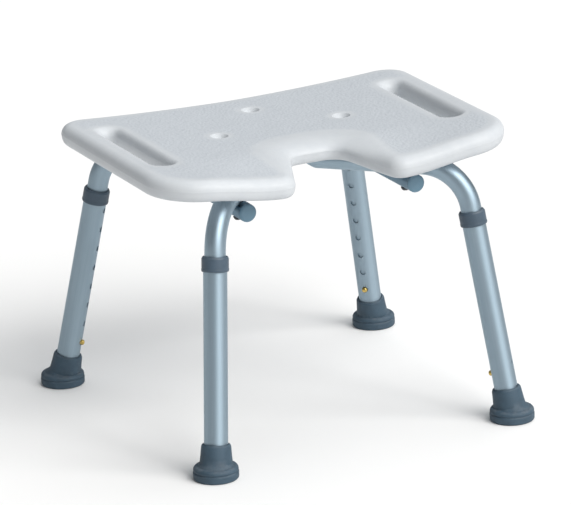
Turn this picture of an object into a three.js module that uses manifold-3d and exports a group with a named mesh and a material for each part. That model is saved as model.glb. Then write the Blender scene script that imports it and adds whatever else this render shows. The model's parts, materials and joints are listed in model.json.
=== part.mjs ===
// A shower stool: a hollow moulded seat on an aluminium frame with four telescopic legs.
// Millimetres, +Z up, +X to the right as seen from the front, which faces -Y.
// The origin is on the floor, midway between the feet.
import * as THREE from "three";
import { mergeVertices } from "three/addons/utils/BufferGeometryUtils.js";
import Module from "manifold-3d";

const wasm = await Module();
wasm.setup();

// Seat
const seatHalfWidth = 236;
const seatFrontY = -182;
const seatBackY = 156;
const seatBackMidY = 150;
const seatThickness = 24;
const seatRim = 10;
const seatWall = 3;
const seatRise = 3.863; // how much the seat has risen from its middle where it passes over the knees
const seatDroop = 9; // how much the front edge falls on each side of the cut-out
const droopSpread = 20.08; // how far outside the knees the droop ends
const seatBackCorner = 37;
const seatFrontCorner = 65;
const cutoutBackY = -88;
const cutoutBackHalf = 31;
const cutoutMouthHalf = 67;
const cutoutBackCorner = 24;
const hornCorner = 22;
const slotInset = 44; // from the seat's side to the middle of the hand slot
const slotLength = 176;
const slotWidth = 22;
const slotMidY = 2;
const drainRadius = 7;
const drainSpread = 82; // from the middle to each of the two front drain holes
const drainRearY = 86;
const ventRadius = 3;

// Frame tubes
const crossTubeRadius = 12.7;
const crossTubeWall = 1.4;
const bendRadius = 60;
const kneeX = 164; // where a leg's line meets the level of the crossing tubes
const kneeY = 161;
const crossTubeZ = 313.8;
const pressedHeight = 9.8; // thickness of each tube where the two are pressed flat and cross
const pressedHalfLength = 20;
const pressedRunOut = 26;
const pressedWidening = 1.3;
const rivetRadius = 4;
const rivetHead = 1.9;
const bendSteps = 6;
const railRadius = 11.1;
const railWall = 1.4;
const railX = 111.7;
const railHalfLength = 140.5;
const nestDepth = 5; // how deep a crossing tube lies in the top of a rail
const plugCap = 2.5;
const plugStem = 14;
const plugStemPlay = 0.5; // between a plug's stem and the rail's bore
const plugWall = 2.2;
const plugEdge = 1.4; // height of the bevel round a plug's face

// Legs
const frontSplay = 0.1085; // sideways lean of a front leg, per millimetre of height
const backSplay = 0.1706;
const depthSplay = 0.1478;
const legTubeWall = 1.3;
const legTubeBottom = 14.5;
const legTop = 264; // top of the collar, along the leg from the floor
const holePitch = 25.4;
const holeCount = 8;
const lowestHole = 59.6;
const holeRadius = 3.7;
const innerEnd = 38; // lower end of the tube inside the leg
const peepRadius = 2;
const peepRise = 11;
const peepPlace = "front_right"; // the one leg tube with a small hole in its outer side
const collarLength = 17.9;
const collarWall = 2.2;
const collarLip = 2.6;
const collarChamfer = 1.5;
const footSpread = 13.1; // how far the flange reaches out past the leg tube
const footFlange = 16;
const footHeight = 40.6;
const footGrooveLow = 8.6; // the ring groove round the flange
const footGrooveDepth = 1.6;
const footGrooveWidth = 3.5;
const footNeckLowWall = 6; // thickness of the neck outside the leg tube
const footNeckTopWall = 3.3;
const footRecessRadius = 13;
const footRecess = 2;
const footWasherThick = 1.6;
const buttonRadius = 3.2;
const buttonReach = 3.2; // how far the button stands out of the leg
const buttonFlange = 4.6;
const buttonSeatDepth = 4.3; // from the inner tube's outside in to the button's flange
const buttonFlangeThick = 1;
const springThick = 0.8;
const springWidth = 8;
const springLength = 44;
const springBend = 2.4;
const springRest = 3.7; // from the inner tube's outside in to the spring's free leg

// Fasteners
const screwRadius = 2.5;
const screwHeadRadius = 4.6;
const screwHeadHeight = 2.6;
const driverRadius = 1.6;
const driverDepth = 1.5;
const washerRadius = 5.4;
const washerThick = 1;
const insertRadius = 4.6;
const insertLength = 14;
const postRadius = 11;
const bossRadius = 17;

const gap = 0.3; // between pieces that touch
const roundSides = 16; // of a turned piece
const smallSides = 8;

const seatUnderZ = crossTubeZ + crossTubeRadius + gap;
const railZ = crossTubeZ - crossTubeRadius - railRadius + nestDepth;
const crossingY = (railX * kneeY) / kneeX; // where a rail passes under a crossing tube
const legBore = crossTubeRadius + gap;
const legTubeRadius = legBore + legTubeWall;
const collarRadius = legTubeRadius + collarWall;
const footRadius = legTubeRadius + footSpread;
const footNeckLow = legTubeRadius + footNeckLowWall;
const footNeckTop = legTubeRadius + footNeckTopWall;
const buttonSeatX = crossTubeRadius - buttonSeatDepth; // from the leg's axis
const plugStemRadius = railRadius - railWall - plugStemPlay;

const plastic = (color, roughness) => new THREE.MeshStandardMaterial({ color, roughness, metalness: 0 });
const metal = (color, roughness) => new THREE.MeshStandardMaterial({ color, roughness, metalness: 1 });
const seatWhite = plastic(0xdfe3e6, 0.5);
const greyPlastic = plastic(0x6b7d8c, 0.5);
const darkRubber = plastic(0x46535e, 0.8);
const aluminium = metal(0xaab4bc, 0.35);
const brass = metal(0xc9a227, 0.3);
const steel = metal(0x9aa0a6, 0.4);

const stool = new THREE.Group();

function toSolid(geometry) {
  const loose = geometry.index ? geometry.toNonIndexed() : geometry;
  const bare = new THREE.BufferGeometry();
  bare.setAttribute("position", loose.getAttribute("position"));
  const merged = mergeVertices(bare, 1e-4);
  const index = merged.index.array;
  const kept = [];
  for (let i = 0; i < index.length; i += 3) {
    const [a, b, c] = [index[i], index[i + 1], index[i + 2]];
    if (a !== b && b !== c && c !== a) kept.push(a, b, c);
  }
  const vertProperties = merged.attributes.position.array;
  return new wasm.Manifold(new wasm.Mesh({ numProp: 3, vertProperties, triVerts: new Uint32Array(kept) }));
}

function toGeometry(solid) {
  const { vertProperties, triVerts } = solid.getMesh();
  const geometry = new THREE.BufferGeometry();
  geometry.setAttribute("position", new THREE.BufferAttribute(new Float32Array(vertProperties), 3));
  geometry.setIndex(new THREE.BufferAttribute(new Uint32Array(triVerts), 1));
  geometry.computeVertexNormals();
  return geometry;
}

function add(parent, name, solid, material) {
  const mesh = new THREE.Mesh(toGeometry(solid), material);
  mesh.name = name;
  parent.add(mesh);
}

// A cylinder or cone standing on z = low.
function rod(radius, low, high, topRadius = radius, sides = roundSides) {
  const geometry = new THREE.CylinderGeometry(topRadius, radius, high - low, sides);
  return geometry.rotateX(Math.PI / 2).translate(0, 0, (low + high) / 2);
}

// The same, lying along +X.
function rodX(radius, low, high, topRadius = radius, sides = smallSides) {
  return rod(radius, low, high, topRadius, sides).rotateY(Math.PI / 2);
}

function pipe(outer, inner, low, high, sides = roundSides) {
  const core = rod(inner, low - 1, high + 1, inner, sides);
  return toSolid(rod(outer, low, high, outer, sides)).subtract(toSolid(core));
}

// A turned piece from [radius, height] pairs, which start and end on the axis or close on themselves.
function turned(pairs, sides = roundSides) {
  const points = pairs.map(([radius, height]) => new THREE.Vector2(radius, height));
  return toSolid(new THREE.LatheGeometry(points, sides).rotateX(Math.PI / 2));
}

// Corner points [x, y, radius] become an outline with each corner rounded.
function roundedOutline(corners, step = 0.6) {
  const outline = [];
  corners.forEach(([x, y, radius], i) => {
    const corner = new THREE.Vector2(x, y);
    const [bx, by] = corners[(i + corners.length - 1) % corners.length];
    const [ax, ay] = corners[(i + 1) % corners.length];
    const back = new THREE.Vector2(bx, by).sub(corner).normalize();
    const ahead = new THREE.Vector2(ax, ay).sub(corner).normalize();
    const half = Math.acos(THREE.MathUtils.clamp(back.dot(ahead), -1, 1)) / 2;
    const middle = back.clone().add(ahead).normalize();
    const centre = corner.clone().addScaledVector(middle, radius / Math.sin(half));
    const from = corner.clone().addScaledVector(back, radius / Math.tan(half)).sub(centre).angle();
    const to = corner.clone().addScaledVector(ahead, radius / Math.tan(half)).sub(centre).angle();
    let turn = to - from;
    if (turn > Math.PI) turn -= 2 * Math.PI;
    if (turn < -Math.PI) turn += 2 * Math.PI;
    const count = Math.max(2, Math.ceil(Math.abs(turn) / step));
    for (let k = 0; k <= count; k++) {
      const angle = from + (turn * k) / count;
      const point = new THREE.Vector2(Math.cos(angle), Math.sin(angle)).multiplyScalar(radius);
      outline.push(point.add(centre));
    }
  });
  return outline;
}

function seatOutline() {
  const right = [
    [seatHalfWidth, seatFrontY, seatFrontCorner],
    [seatHalfWidth, seatBackY, seatBackCorner],
  ];
  const cutoutRight = [
    [cutoutBackHalf, cutoutBackY, cutoutBackCorner],
    [cutoutMouthHalf, seatFrontY, hornCorner],
  ];
  const mirror = (corners) => corners.map(([x, y, radius]) => [-x, y, radius]).reverse();
  const backMiddle = [[0, seatBackMidY, 500]];
  return roundedOutline([...cutoutRight, ...right, ...backMiddle, ...mirror(right), ...mirror(cutoutRight)]);
}

function slotOutline(side) {
  const x = side * (seatHalfWidth - slotInset);
  const [w, l, r] = [slotWidth / 2, slotLength / 2, slotWidth / 2 - 0.5];
  const corners = [
    [x + w, slotMidY - l, r],
    [x + w, slotMidY + l, r],
    [x - w, slotMidY + l, r],
    [x - w, slotMidY - l, r],
  ];
  return roundedOutline(corners, 0.8);
}

// The seat's slab with rounded edges, its skin moved in by `inset`.
function seatSlab(inset, segments) {
  const shape = new THREE.Shape(seatOutline());
  shape.holes.push(new THREE.Path(slotOutline(-1)), new THREE.Path(slotOutline(1)));
  const bevel = seatRim - inset;
  const geometry = new THREE.ExtrudeGeometry(shape, {
    depth: seatThickness - 2 * seatRim,
    bevelEnabled: true,
    bevelThickness: bevel,
    bevelSize: bevel,
    bevelOffset: -seatRim,
    bevelSegments: segments,
  });
  return toSolid(geometry.translate(0, 0, seatRim));
}

const drainHoles = [
  [-drainSpread, 0],
  [drainSpread, 0],
  [0, drainRearY],
];
const screwPlaces = [
  ["front_left", -1, -1],
  ["front_right", 1, -1],
  ["back_left", -1, 1],
  ["back_right", 1, 1],
];

function seatCavity() {
  let cavity = seatSlab(seatWall, 1);
  for (const [x, y] of drainHoles) {
    const sleeve = rod(drainRadius + seatWall, 0, seatThickness, drainRadius + seatWall, smallSides);
    cavity = cavity.subtract(toSolid(sleeve.translate(x, y, 0)));
  }
  for (const [, sideX, sideY] of screwPlaces) {
    const post = rod(postRadius, 0, seatThickness, postRadius, smallSides);
    cavity = cavity.subtract(toSolid(post.translate(sideX * railX, sideY * crossingY, 0)));
  }
  return cavity;
}

// Cuts every triangle of a mesh along the planes where the chosen coordinate has the given values.
function splitAlong(triangles, axis, values) {
  for (const value of values) {
    const next = [];
    for (const triangle of triangles) {
      const [low, high] = [[], []];
      for (let i = 0; i < 3; i++) {
        const [p, q] = [triangle[i], triangle[(i + 1) % 3]];
        const [dp, dq] = [p[axis] - value, q[axis] - value];
        if (dp <= 0) low.push(p);
        if (dp >= 0) high.push(p);
        if (dp * dq < 0) {
          const cut = cutPoint(p, q, axis, value);
          low.push(cut);
          high.push(cut);
        }
      }
      for (const piece of [low, high]) {
        for (let i = 1; i + 1 < piece.length; i++) next.push([piece[0], piece[i], piece[i + 1]]);
      }
    }
    triangles = next.filter((triangle) => triangle.some((p) => p[axis] !== value));
  }
  return triangles;
}

// The same point from either end, so that neighbouring triangles keep a shared edge.
function cutPoint(p, q, axis, value) {
  const ordered = p[axis] < q[axis] ? [p, q] : [q, p];
  const share = (value - ordered[0][axis]) / (ordered[1][axis] - ordered[0][axis]);
  const point = ordered[0].map((v, i) => v + (ordered[1][i] - v) * share);
  point[axis] = value;
  return point;
}

function evenSteps(low, high, count) {
  return Array.from({ length: count }, (_, i) => low + ((high - low) * (i + 1)) / (count + 1));
}

// The saddle of the seat: it rises to both ends and falls at the front, on each side of the cut-out.
function saddleHeight(x, y) {
  const end = x / kneeX;
  const forward = THREE.MathUtils.smoothstep(-y, 80, -seatFrontY);
  const central = 1 - THREE.MathUtils.smoothstep(Math.abs(x), 80, kneeX + droopSpread);
  return seatRise * end * end - seatDroop * forward * central;
}

function bendSeat(flat) {
  const { vertProperties, triVerts } = flat.getMesh();
  const corner = (i) => Array.from(vertProperties.subarray(3 * i, 3 * i + 3));
  let triangles = [];
  for (let i = 0; i < triVerts.length; i += 3) {
    triangles.push([corner(triVerts[i]), corner(triVerts[i + 1]), corner(triVerts[i + 2])]);
  }
  triangles = splitAlong(triangles, 0, evenSteps(-seatHalfWidth, seatHalfWidth, 3));
  triangles = splitAlong(triangles, 1, evenSteps(seatFrontY, -80, 1));
  const positions = triangles.flat().flatMap(([x, y, z]) => [x, y, z + seatUnderZ + saddleHeight(x, y)]);
  const geometry = new THREE.BufferGeometry();
  geometry.setAttribute("position", new THREE.Float32BufferAttribute(positions, 3));
  return toSolid(geometry);
}

function makeSeat() {
  let flat = seatSlab(0, 2).subtract(seatCavity());
  for (const [x, y] of drainHoles) {
    const hole = rod(drainRadius, -1, seatThickness + 1, drainRadius, smallSides);
    flat = flat.subtract(toSolid(hole.translate(x, y, 0)));
  }
  const vent = rod(ventRadius, -1, seatWall + 1, ventRadius, 8).translate(drainSpread / 2, drainRearY / 2, 0);
  let seat = bendSeat(flat.subtract(toSolid(vent)));
  for (const [, sideX, sideY] of screwPlaces) {
    const [x, y] = [sideX * railX, sideY * crossingY];
    const boss = rod(bossRadius, seatUnderZ, seatUnderZ + seatWall, bossRadius, smallSides);
    seat = seat.add(toSolid(boss.translate(x, y, 0)));
    const pocketTop = seatUnderZ + insertLength + gap;
    const pocketLow = seatUnderZ - seatDroop - 1;
    const pocket = rod(insertRadius + gap, pocketLow, pocketTop, insertRadius + gap, smallSides);
    seat = seat.subtract(toSolid(pocket.translate(x, y, 0)));
  }
  add(stool, "seat", seat, seatWhite);
}

// A leg's own frame: +Z up the leg from the floor, +X towards the middle of the stool.
function legFrame(sideX, sideY) {
  const splay = sideY < 0 ? frontSplay : backSplay;
  const up = new THREE.Vector3(-sideX * splay, -sideY * depthSplay, 1).normalize();
  const foot = new THREE.Vector3(
    sideX * (kneeX + splay * crossTubeZ),
    sideY * (kneeY + depthSplay * crossTubeZ),
    0,
  );
  const inward = new THREE.Vector3(-sideX * kneeX, -sideY * kneeY, 0);
  inward.addScaledVector(up, -inward.dot(up)).normalize();
  const across = new THREE.Vector3().crossVectors(up, inward);
  return { up, foot, matrix: new THREE.Matrix4().makeBasis(inward, across, up).setPosition(foot) };
}

// A path that ExtrudeGeometry follows through chosen stations instead of even steps.
class StationPath extends THREE.Curve {
  constructor(stations) {
    super();
    this.stations = stations;
  }
  getPoint(t) {
    return this.stations[Math.round(t * (this.stations.length - 1))].point;
  }
  getSpacedPoints() {
    return this.stations.map((station) => station.point);
  }
  getTangentAt(t) {
    return this.stations[Math.round(t * (this.stations.length - 1))].along;
  }
}

// Stations up one leg and round its bend, ending level and heading for the middle.
function kneeStations(sideX, sideY) {
  const { up, foot } = legFrame(sideX, sideY);
  const knee = new THREE.Vector3(sideX * kneeX, sideY * kneeY, crossTubeZ);
  const level = new THREE.Vector3(-sideX * kneeX, -sideY * kneeY, 0).normalize();
  const angle = Math.acos(up.dot(level));
  const start = knee.clone().addScaledVector(up, -bendRadius * Math.tan(angle / 2));
  const toCentre = level.clone().addScaledVector(up, -up.dot(level)).normalize();
  const centre = start.clone().addScaledVector(toCentre, bendRadius);
  const stations = [{ point: foot.clone().addScaledVector(up, innerEnd), along: up }];
  for (let i = 0; i <= bendSteps; i++) {
    const turn = (angle * i) / bendSteps;
    const point = centre.clone().addScaledVector(toCentre, -bendRadius * Math.cos(turn));
    point.addScaledVector(up, bendRadius * Math.sin(turn));
    const along = up.clone().multiplyScalar(Math.cos(turn)).addScaledVector(toCentre, Math.sin(turn));
    stations.push({ point, along });
  }
  return stations;
}

function crossTubeStations(sideX) {
  const first = kneeStations(sideX, -1);
  const last = kneeStations(-sideX, 1).reverse();
  const along = new THREE.Vector3(-sideX * kneeX, kneeY, 0).normalize();
  const flatEnd = pressedHalfLength + pressedRunOut;
  const places = [flatEnd, 0.7 * flatEnd, pressedHalfLength + 4, pressedHalfLength - 6];
  const middle = [...places.map((d) => -d), ...places.reverse()].map((d) => ({
    point: new THREE.Vector3(0, 0, crossTubeZ).addScaledVector(along, d),
    along,
  }));
  const rest = last.map(({ point, along: leg }) => ({ point, along: leg.clone().negate() }));
  return [...first, ...middle, ...rest];
}

// Presses a tube flat round the middle of the frame, into its lower or its upper half.
function pressFlat(geometry, sideX, half) {
  const along = new THREE.Vector3(-sideX * kneeX, kneeY, 0).normalize();
  const across = new THREE.Vector3(-along.y, along.x, 0);
  const position = geometry.getAttribute("position");
  const squeeze = pressedHeight / (2 * crossTubeRadius);
  const centreShift = half * (pressedHeight / 2 + gap);
  for (let i = 0; i < position.count; i++) {
    const point = new THREE.Vector3().fromBufferAttribute(position, i);
    const distance = Math.abs(point.dot(along));
    const run = THREE.MathUtils.smoothstep(distance, pressedHalfLength, pressedHalfLength + pressedRunOut);
    if (point.z < crossTubeZ - 2 * crossTubeRadius || run === 1) continue;
    const press = 1 - run;
    const height = point.z - crossTubeZ;
    point.z = crossTubeZ + height * (1 + (squeeze - 1) * press) + centreShift * press;
    point.addScaledVector(across, point.dot(across) * (pressedWidening - 1) * press);
    position.setXYZ(i, point.x, point.y, point.z);
  }
  return geometry;
}

function makeCrossTube(name, sideX, half) {
  const section = new THREE.Shape().absarc(0, 0, crossTubeRadius, 0, 2 * Math.PI);
  section.holes.push(new THREE.Path().absarc(0, 0, crossTubeRadius - crossTubeWall, 0, 2 * Math.PI));
  const stations = crossTubeStations(sideX);
  const geometry = new THREE.ExtrudeGeometry(section, {
    steps: stations.length - 1,
    curveSegments: 6,
    bevelEnabled: false,
    extrudePath: new StationPath(stations),
  });
  let tube = toSolid(pressFlat(geometry, sideX, half));
  tube = tube.subtract(toSolid(rod(rivetRadius + gap, -40, 40).translate(0, 0, crossTubeZ)));
  for (const [x, y] of [[sideX, -1], [-sideX, 1]]) {
    const screwHole = rod(screwRadius + gap, -20, 20, screwRadius + gap, smallSides);
    tube = tube.subtract(toSolid(screwHole.translate(x * railX, y * crossingY, crossTubeZ)));
    const buttonHole = rodX(buttonRadius + gap, 0, 2 * crossTubeRadius).translate(0, 0, lowestHole);
    tube = tube.subtract(toSolid(buttonHole.applyMatrix4(legFrame(x, y).matrix)));
  }
  add(stool, name, tube, aluminium);
}

function makeRivet() {
  const reach = pressedHeight + gap + gap / 2;
  const headRadius = 2 * rivetRadius;
  const rivet = turned([
    [0, -reach - rivetHead],
    [headRadius - 1, -reach - rivetHead],
    [headRadius, -reach - gap],
    [rivetRadius, -reach - gap],
    [rivetRadius, reach + gap],
    [headRadius, reach + gap],
    [headRadius - 1, reach + rivetHead],
    [0, reach + rivetHead],
  ]);
  add(stool, "crossing_rivet", rivet.translate([0, 0, crossTubeZ]), steel);
}

// A rail with a saddle cut where each crossing tube nests in its top.
function makeRail(name, side) {
  const half = railHalfLength - plugCap - gap;
  const lying = pipe(railRadius, railRadius - railWall, -half, half);
  const place = new THREE.Matrix4().makeRotationX(Math.PI / 2).setPosition(side * railX, 0, railZ);
  let rail = toSolid(toGeometry(lying).applyMatrix4(place));
  for (const sideY of [-1, 1]) {
    const y = sideY * crossingY;
    const heading = Math.atan2(sideY * kneeY, side * kneeX);
    const saddle = rodX(crossTubeRadius + gap, -60, 60, crossTubeRadius + gap, roundSides);
    rail = rail.subtract(toSolid(saddle.rotateZ(heading).translate(side * railX, y, crossTubeZ)));
    const screwHole = rod(screwRadius + gap, railZ - 20, railZ + 20, screwRadius + gap, smallSides);
    rail = rail.subtract(toSolid(screwHole.translate(side * railX, y, 0)));
  }
  add(stool, name, rail, aluminium);
}

function makeRailPlug(name, side, sideY) {
  const body = turned([
    [0, 0],
    [railRadius - 2, 0],
    [railRadius, plugEdge],
    [railRadius, plugCap],
    [plugStemRadius, plugCap],
    [plugStemRadius, plugCap + plugStem - 2],
    [plugStemRadius - 1.5, plugCap + plugStem],
    [0, plugCap + plugStem],
  ], 16);
  const bore = plugStemRadius - plugWall;
  const hollow = rod(bore, plugCap + 1, plugCap + plugStem + 1, bore, 16);
  const plug = toGeometry(body.subtract(toSolid(hollow)));
  plug.rotateX((sideY * Math.PI) / 2).translate(side * railX, sideY * railHalfLength, railZ);
  add(stool, name, toSolid(plug), greyPlastic);
}

function makeSeatFixing(place, sideX, sideY) {
  const fixing = new THREE.Group();
  fixing.position.set(sideX * railX, sideY * crossingY, 0);
  const washerTop = railZ - railRadius - gap;
  const headTop = washerTop - washerThick - gap;
  const screwEnd = seatUnderZ + insertLength - 2;
  const head = turned([
    [0, -screwHeadHeight],
    [screwHeadRadius - 1.2, -screwHeadHeight],
    [screwHeadRadius, 1 - screwHeadHeight],
    [screwHeadRadius, 0],
    [0, 0],
  ], smallSides);
  const driverTop = driverDepth - screwHeadHeight;
  const driverSocket = rod(driverRadius, -screwHeadHeight - 1, driverTop, driverRadius, 6);
  const shank = rod(screwRadius, headTop - 0.5, screwEnd, screwRadius, smallSides);
  const screw = head.subtract(toSolid(driverSocket)).translate([0, 0, headTop]).add(toSolid(shank));
  add(fixing, "seat_screw_" + place, screw, steel);
  const washer = pipe(washerRadius, screwRadius + gap, washerTop - washerThick, washerTop, smallSides);
  add(fixing, "screw_washer_" + place, washer, steel);
  const insertTop = seatUnderZ + insertLength;
  const insert = pipe(insertRadius, screwRadius + gap, seatUnderZ + gap, insertTop, smallSides);
  add(fixing, "seat_insert_" + place, insert, brass);
  stool.add(fixing);
}

function legTube(place) {
  const top = legTop - collarLip - gap;
  let tube = pipe(legTubeRadius, legBore, legTubeBottom, top);
  for (let k = 0; k < holeCount; k++) {
    const hole = rodX(holeRadius, 0, legTubeRadius + 2).translate(0, 0, lowestHole + holePitch * k);
    tube = tube.subtract(toSolid(hole));
  }
  if (place !== peepPlace) return tube;
  const peep = rodX(peepRadius, -legTubeRadius - 2, 0, peepRadius, 10);
  return tube.subtract(toSolid(peep.translate(0, 0, lowestHole + peepRise)));
}

function legCollar() {
  const sleeve = legTubeRadius + gap;
  const low = legTop - collarLength;
  return turned([
    [sleeve, low],
    [collarRadius - 0.6, low],
    [collarRadius, low + 0.6],
    [collarRadius, legTop - collarChamfer],
    [collarRadius - collarChamfer, legTop],
    [legBore, legTop],
    [legBore, legTop - collarLip],
    [sleeve, legTop - collarLip],
    [sleeve, low],
  ]);
}

// A rubber foot: its flange stands square on the floor, its neck leans with the leg.
function makeFoot(name, frame) {
  const grooveRadius = footRadius - footGrooveDepth;
  const flange = turned([
    [0, 0],
    [footRadius - 1.8, 0],
    [footRadius, 1.8],
    [footRadius, footGrooveLow],
    [grooveRadius, footGrooveLow + footGrooveWidth / 3],
    [grooveRadius, footGrooveLow + (2 * footGrooveWidth) / 3],
    [footRadius - 0.6, footGrooveLow + footGrooveWidth],
    [footRadius - 2, footFlange - 1.2],
    [footRadius - 5, footFlange],
    [0, footFlange],
  ]);
  const toLeg = frame.matrix.clone().setPosition(0, 0, 0);
  const neck = turned([
    [0, 8],
    [footNeckLow, 8],
    [footNeckLow, footFlange + 1],
    [footNeckTop, footHeight - 1.5],
    [footNeckTop - 1.5, footHeight],
    [0, footHeight],
  ]);
  const socketLow = legTubeBottom - footWasherThick - 2 * gap;
  const socket = rod(legTubeRadius + gap, socketLow, footHeight + 1);
  let foot = flange.add(toSolid(toGeometry(neck).applyMatrix4(toLeg)));
  foot = foot.subtract(toSolid(socket.applyMatrix4(toLeg)));
  foot = foot.subtract(toSolid(rod(footRecessRadius, -1, footRecess)));
  const mesh = new THREE.Mesh(toGeometry(foot), darkRubber);
  mesh.name = name;
  mesh.position.copy(frame.foot);
  stool.add(mesh);
}

function snapButton() {
  const tip = legTubeRadius + buttonReach;
  const flangeTop = buttonSeatX + buttonFlangeThick;
  const pairs = [
    [0, buttonSeatX],
    [buttonFlange, buttonSeatX],
    [buttonFlange, flangeTop],
    [buttonRadius, flangeTop],
    [buttonRadius, tip - buttonRadius * 0.8],
  ];
  for (let k = 1; k <= 4; k++) {
    const angle = (k * Math.PI) / 8;
    const height = tip - buttonRadius * 0.8 * (1 - Math.sin(angle));
    pairs.push([k === 4 ? 0 : buttonRadius * Math.cos(angle), height]);
  }
  const standing = toGeometry(turned(pairs, smallSides));
  return toSolid(standing.rotateY(Math.PI / 2).translate(0, 0, lowestHole));
}

// A bent strip of the given thickness along [x, z] points.
function strip(points, thickness, width) {
  const path = points.map(([x, z]) => new THREE.Vector2(x, z));
  const side = (sign) => path.map((point, i) => {
    const before = path[Math.max(i - 1, 0)];
    const after = path[Math.min(i + 1, path.length - 1)];
    const along = after.clone().sub(before).normalize();
    return point.clone().add(new THREE.Vector2(-along.y, along.x).multiplyScalar((sign * thickness) / 2));
  });
  const shape = new THREE.Shape([...side(-1), ...side(1).reverse()]);
  const geometry = new THREE.ExtrudeGeometry(shape, { depth: width, bevelEnabled: false });
  return toSolid(geometry.translate(0, 0, -width / 2).rotateX(Math.PI / 2));
}

function buttonSpring() {
  const seatX = buttonSeatX - gap - springThick / 2;
  const top = lowestHole + springLength;
  const points = [
    [seatX, lowestHole - 6],
    [seatX, lowestHole + 6],
    [springBend, top - 3],
  ];
  for (let k = 0; k <= 4; k++) {
    const angle = (k * Math.PI) / 4;
    points.push([springBend * Math.cos(angle), top + springBend * Math.sin(angle)]);
  }
  const rest = crossTubeRadius - springRest;
  points.push([-springBend, top - 3], [-rest, lowestHole - 4], [1 - rest, lowestHole - 8]);
  return strip(points, springThick, springWidth);
}

function makeLeg(place, sideX, sideY) {
  const frame = legFrame(sideX, sideY);
  const leg = new THREE.Group();
  leg.applyMatrix4(frame.matrix);
  add(leg, "leg_tube_" + place, legTube(place), aluminium);
  add(leg, "leg_collar_" + place, legCollar(), greyPlastic);
  const washerLow = legTubeBottom - gap - footWasherThick;
  const washer = toSolid(rod(legTubeRadius - gap, washerLow, legTubeBottom - gap));
  add(leg, "foot_washer_" + place, washer, steel);
  add(leg, "snap_button_" + place, snapButton(), brass);
  add(leg, "button_spring_" + place, buttonSpring(), steel);
  stool.add(leg);
  makeFoot("leg_foot_" + place, frame);
}

makeSeat();
makeCrossTube("cross_tube_front_left", -1, -1);
makeCrossTube("cross_tube_front_right", 1, 1);
makeRivet();
for (const [side, sideX] of [["left", -1], ["right", 1]]) {
  makeRail("rail_" + side, sideX);
  makeRailPlug("rail_plug_front_" + side, sideX, -1);
  makeRailPlug("rail_plug_back_" + side, sideX, 1);
}
for (const [place, sideX, sideY] of screwPlaces) {
  makeSeatFixing(place, sideX, sideY);
  makeLeg(place, sideX, sideY);
}

export default stool;
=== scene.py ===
# Shower stool: a moulded seat with a washing cut-out on an aluminium frame, with four telescopic legs.
import json
import math
import bpy
import bmesh
from mathutils import Matrix, Vector, kdtree
from mathutils.geometry import delaunay_2d_cdt


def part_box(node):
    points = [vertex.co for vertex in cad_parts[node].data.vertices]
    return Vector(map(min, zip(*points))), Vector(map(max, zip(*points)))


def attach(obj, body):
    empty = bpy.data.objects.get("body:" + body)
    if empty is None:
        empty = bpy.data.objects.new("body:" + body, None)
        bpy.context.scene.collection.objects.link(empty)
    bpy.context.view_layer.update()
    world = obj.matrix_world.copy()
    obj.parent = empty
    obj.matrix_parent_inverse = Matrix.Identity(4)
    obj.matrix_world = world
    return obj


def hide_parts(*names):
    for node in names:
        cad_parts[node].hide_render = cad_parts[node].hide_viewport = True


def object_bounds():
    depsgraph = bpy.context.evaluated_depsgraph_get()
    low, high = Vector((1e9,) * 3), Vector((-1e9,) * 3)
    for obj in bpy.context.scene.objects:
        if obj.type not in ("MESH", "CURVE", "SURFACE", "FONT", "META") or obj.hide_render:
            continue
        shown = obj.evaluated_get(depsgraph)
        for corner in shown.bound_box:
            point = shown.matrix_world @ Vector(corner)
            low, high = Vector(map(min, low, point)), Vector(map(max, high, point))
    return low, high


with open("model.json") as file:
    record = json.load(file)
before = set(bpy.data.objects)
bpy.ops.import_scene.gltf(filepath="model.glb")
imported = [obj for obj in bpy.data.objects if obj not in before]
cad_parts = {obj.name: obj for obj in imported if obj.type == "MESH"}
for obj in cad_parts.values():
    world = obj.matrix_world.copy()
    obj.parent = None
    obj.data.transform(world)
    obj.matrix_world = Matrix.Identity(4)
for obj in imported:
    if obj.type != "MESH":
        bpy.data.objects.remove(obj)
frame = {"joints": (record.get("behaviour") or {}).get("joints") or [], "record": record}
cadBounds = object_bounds()

mm = 0.001  # shapes below are in millimetres, and every mesh is written in metres
places = ["front_left", "front_right", "back_left", "back_right"]
record = frame["record"]
bodyOf = {node: body for body, nodes in record["behaviour"]["bodies"].items() for node in nodes}
axisOf = {joint["name"]: Vector(joint["axis"]) for joint in frame["joints"]}


def nodeBox(node):
    low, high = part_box(node)
    return low / mm, high / mm


# Camera, light and floor

cameraValues = {
    "azimuth": -24.92,  # degrees round from straight in front
    "elevation": 17.52,
    "roll": -2.26,
    "distance": 6.1,
    "lens": 314.6,
    "farthest": 50,
    "aimRise": 0.0107,  # above the middle of the stool
}


def headingTo(azimuth, elevation):
    # the direction of a place round and above the stool, in degrees from straight in front
    around, above = math.radians(azimuth), math.radians(elevation)
    return Vector((math.sin(around) * math.cos(above), -math.cos(around) * math.cos(above), math.sin(above)))


def setCamera():
    azimuth = math.radians(cameraValues["azimuth"])
    roll = math.radians(cameraValues["roll"])
    back = headingTo(cameraValues["azimuth"], cameraValues["elevation"])
    level = Vector((math.cos(azimuth), math.sin(azimuth), 0))
    right = level * math.cos(roll) + back.cross(level) * math.sin(roll)
    up = back.cross(right)
    low, high = (Vector(corner) for corner in cadBounds)
    aim = (low + high) / 2 + Vector((0, 0, cameraValues["aimRise"]))
    data = bpy.data.cameras.new("camera")
    data.lens = cameraValues["lens"]
    data.clip_end = cameraValues["farthest"]
    camera = bpy.data.objects.new("camera", data)
    camera.matrix_world = Matrix.LocRotScale(
        aim + back * cameraValues["distance"], Matrix((right, up, back)).transposed(), None)
    bpy.context.scene.collection.objects.link(camera)
    bpy.context.scene.camera = camera


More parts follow.
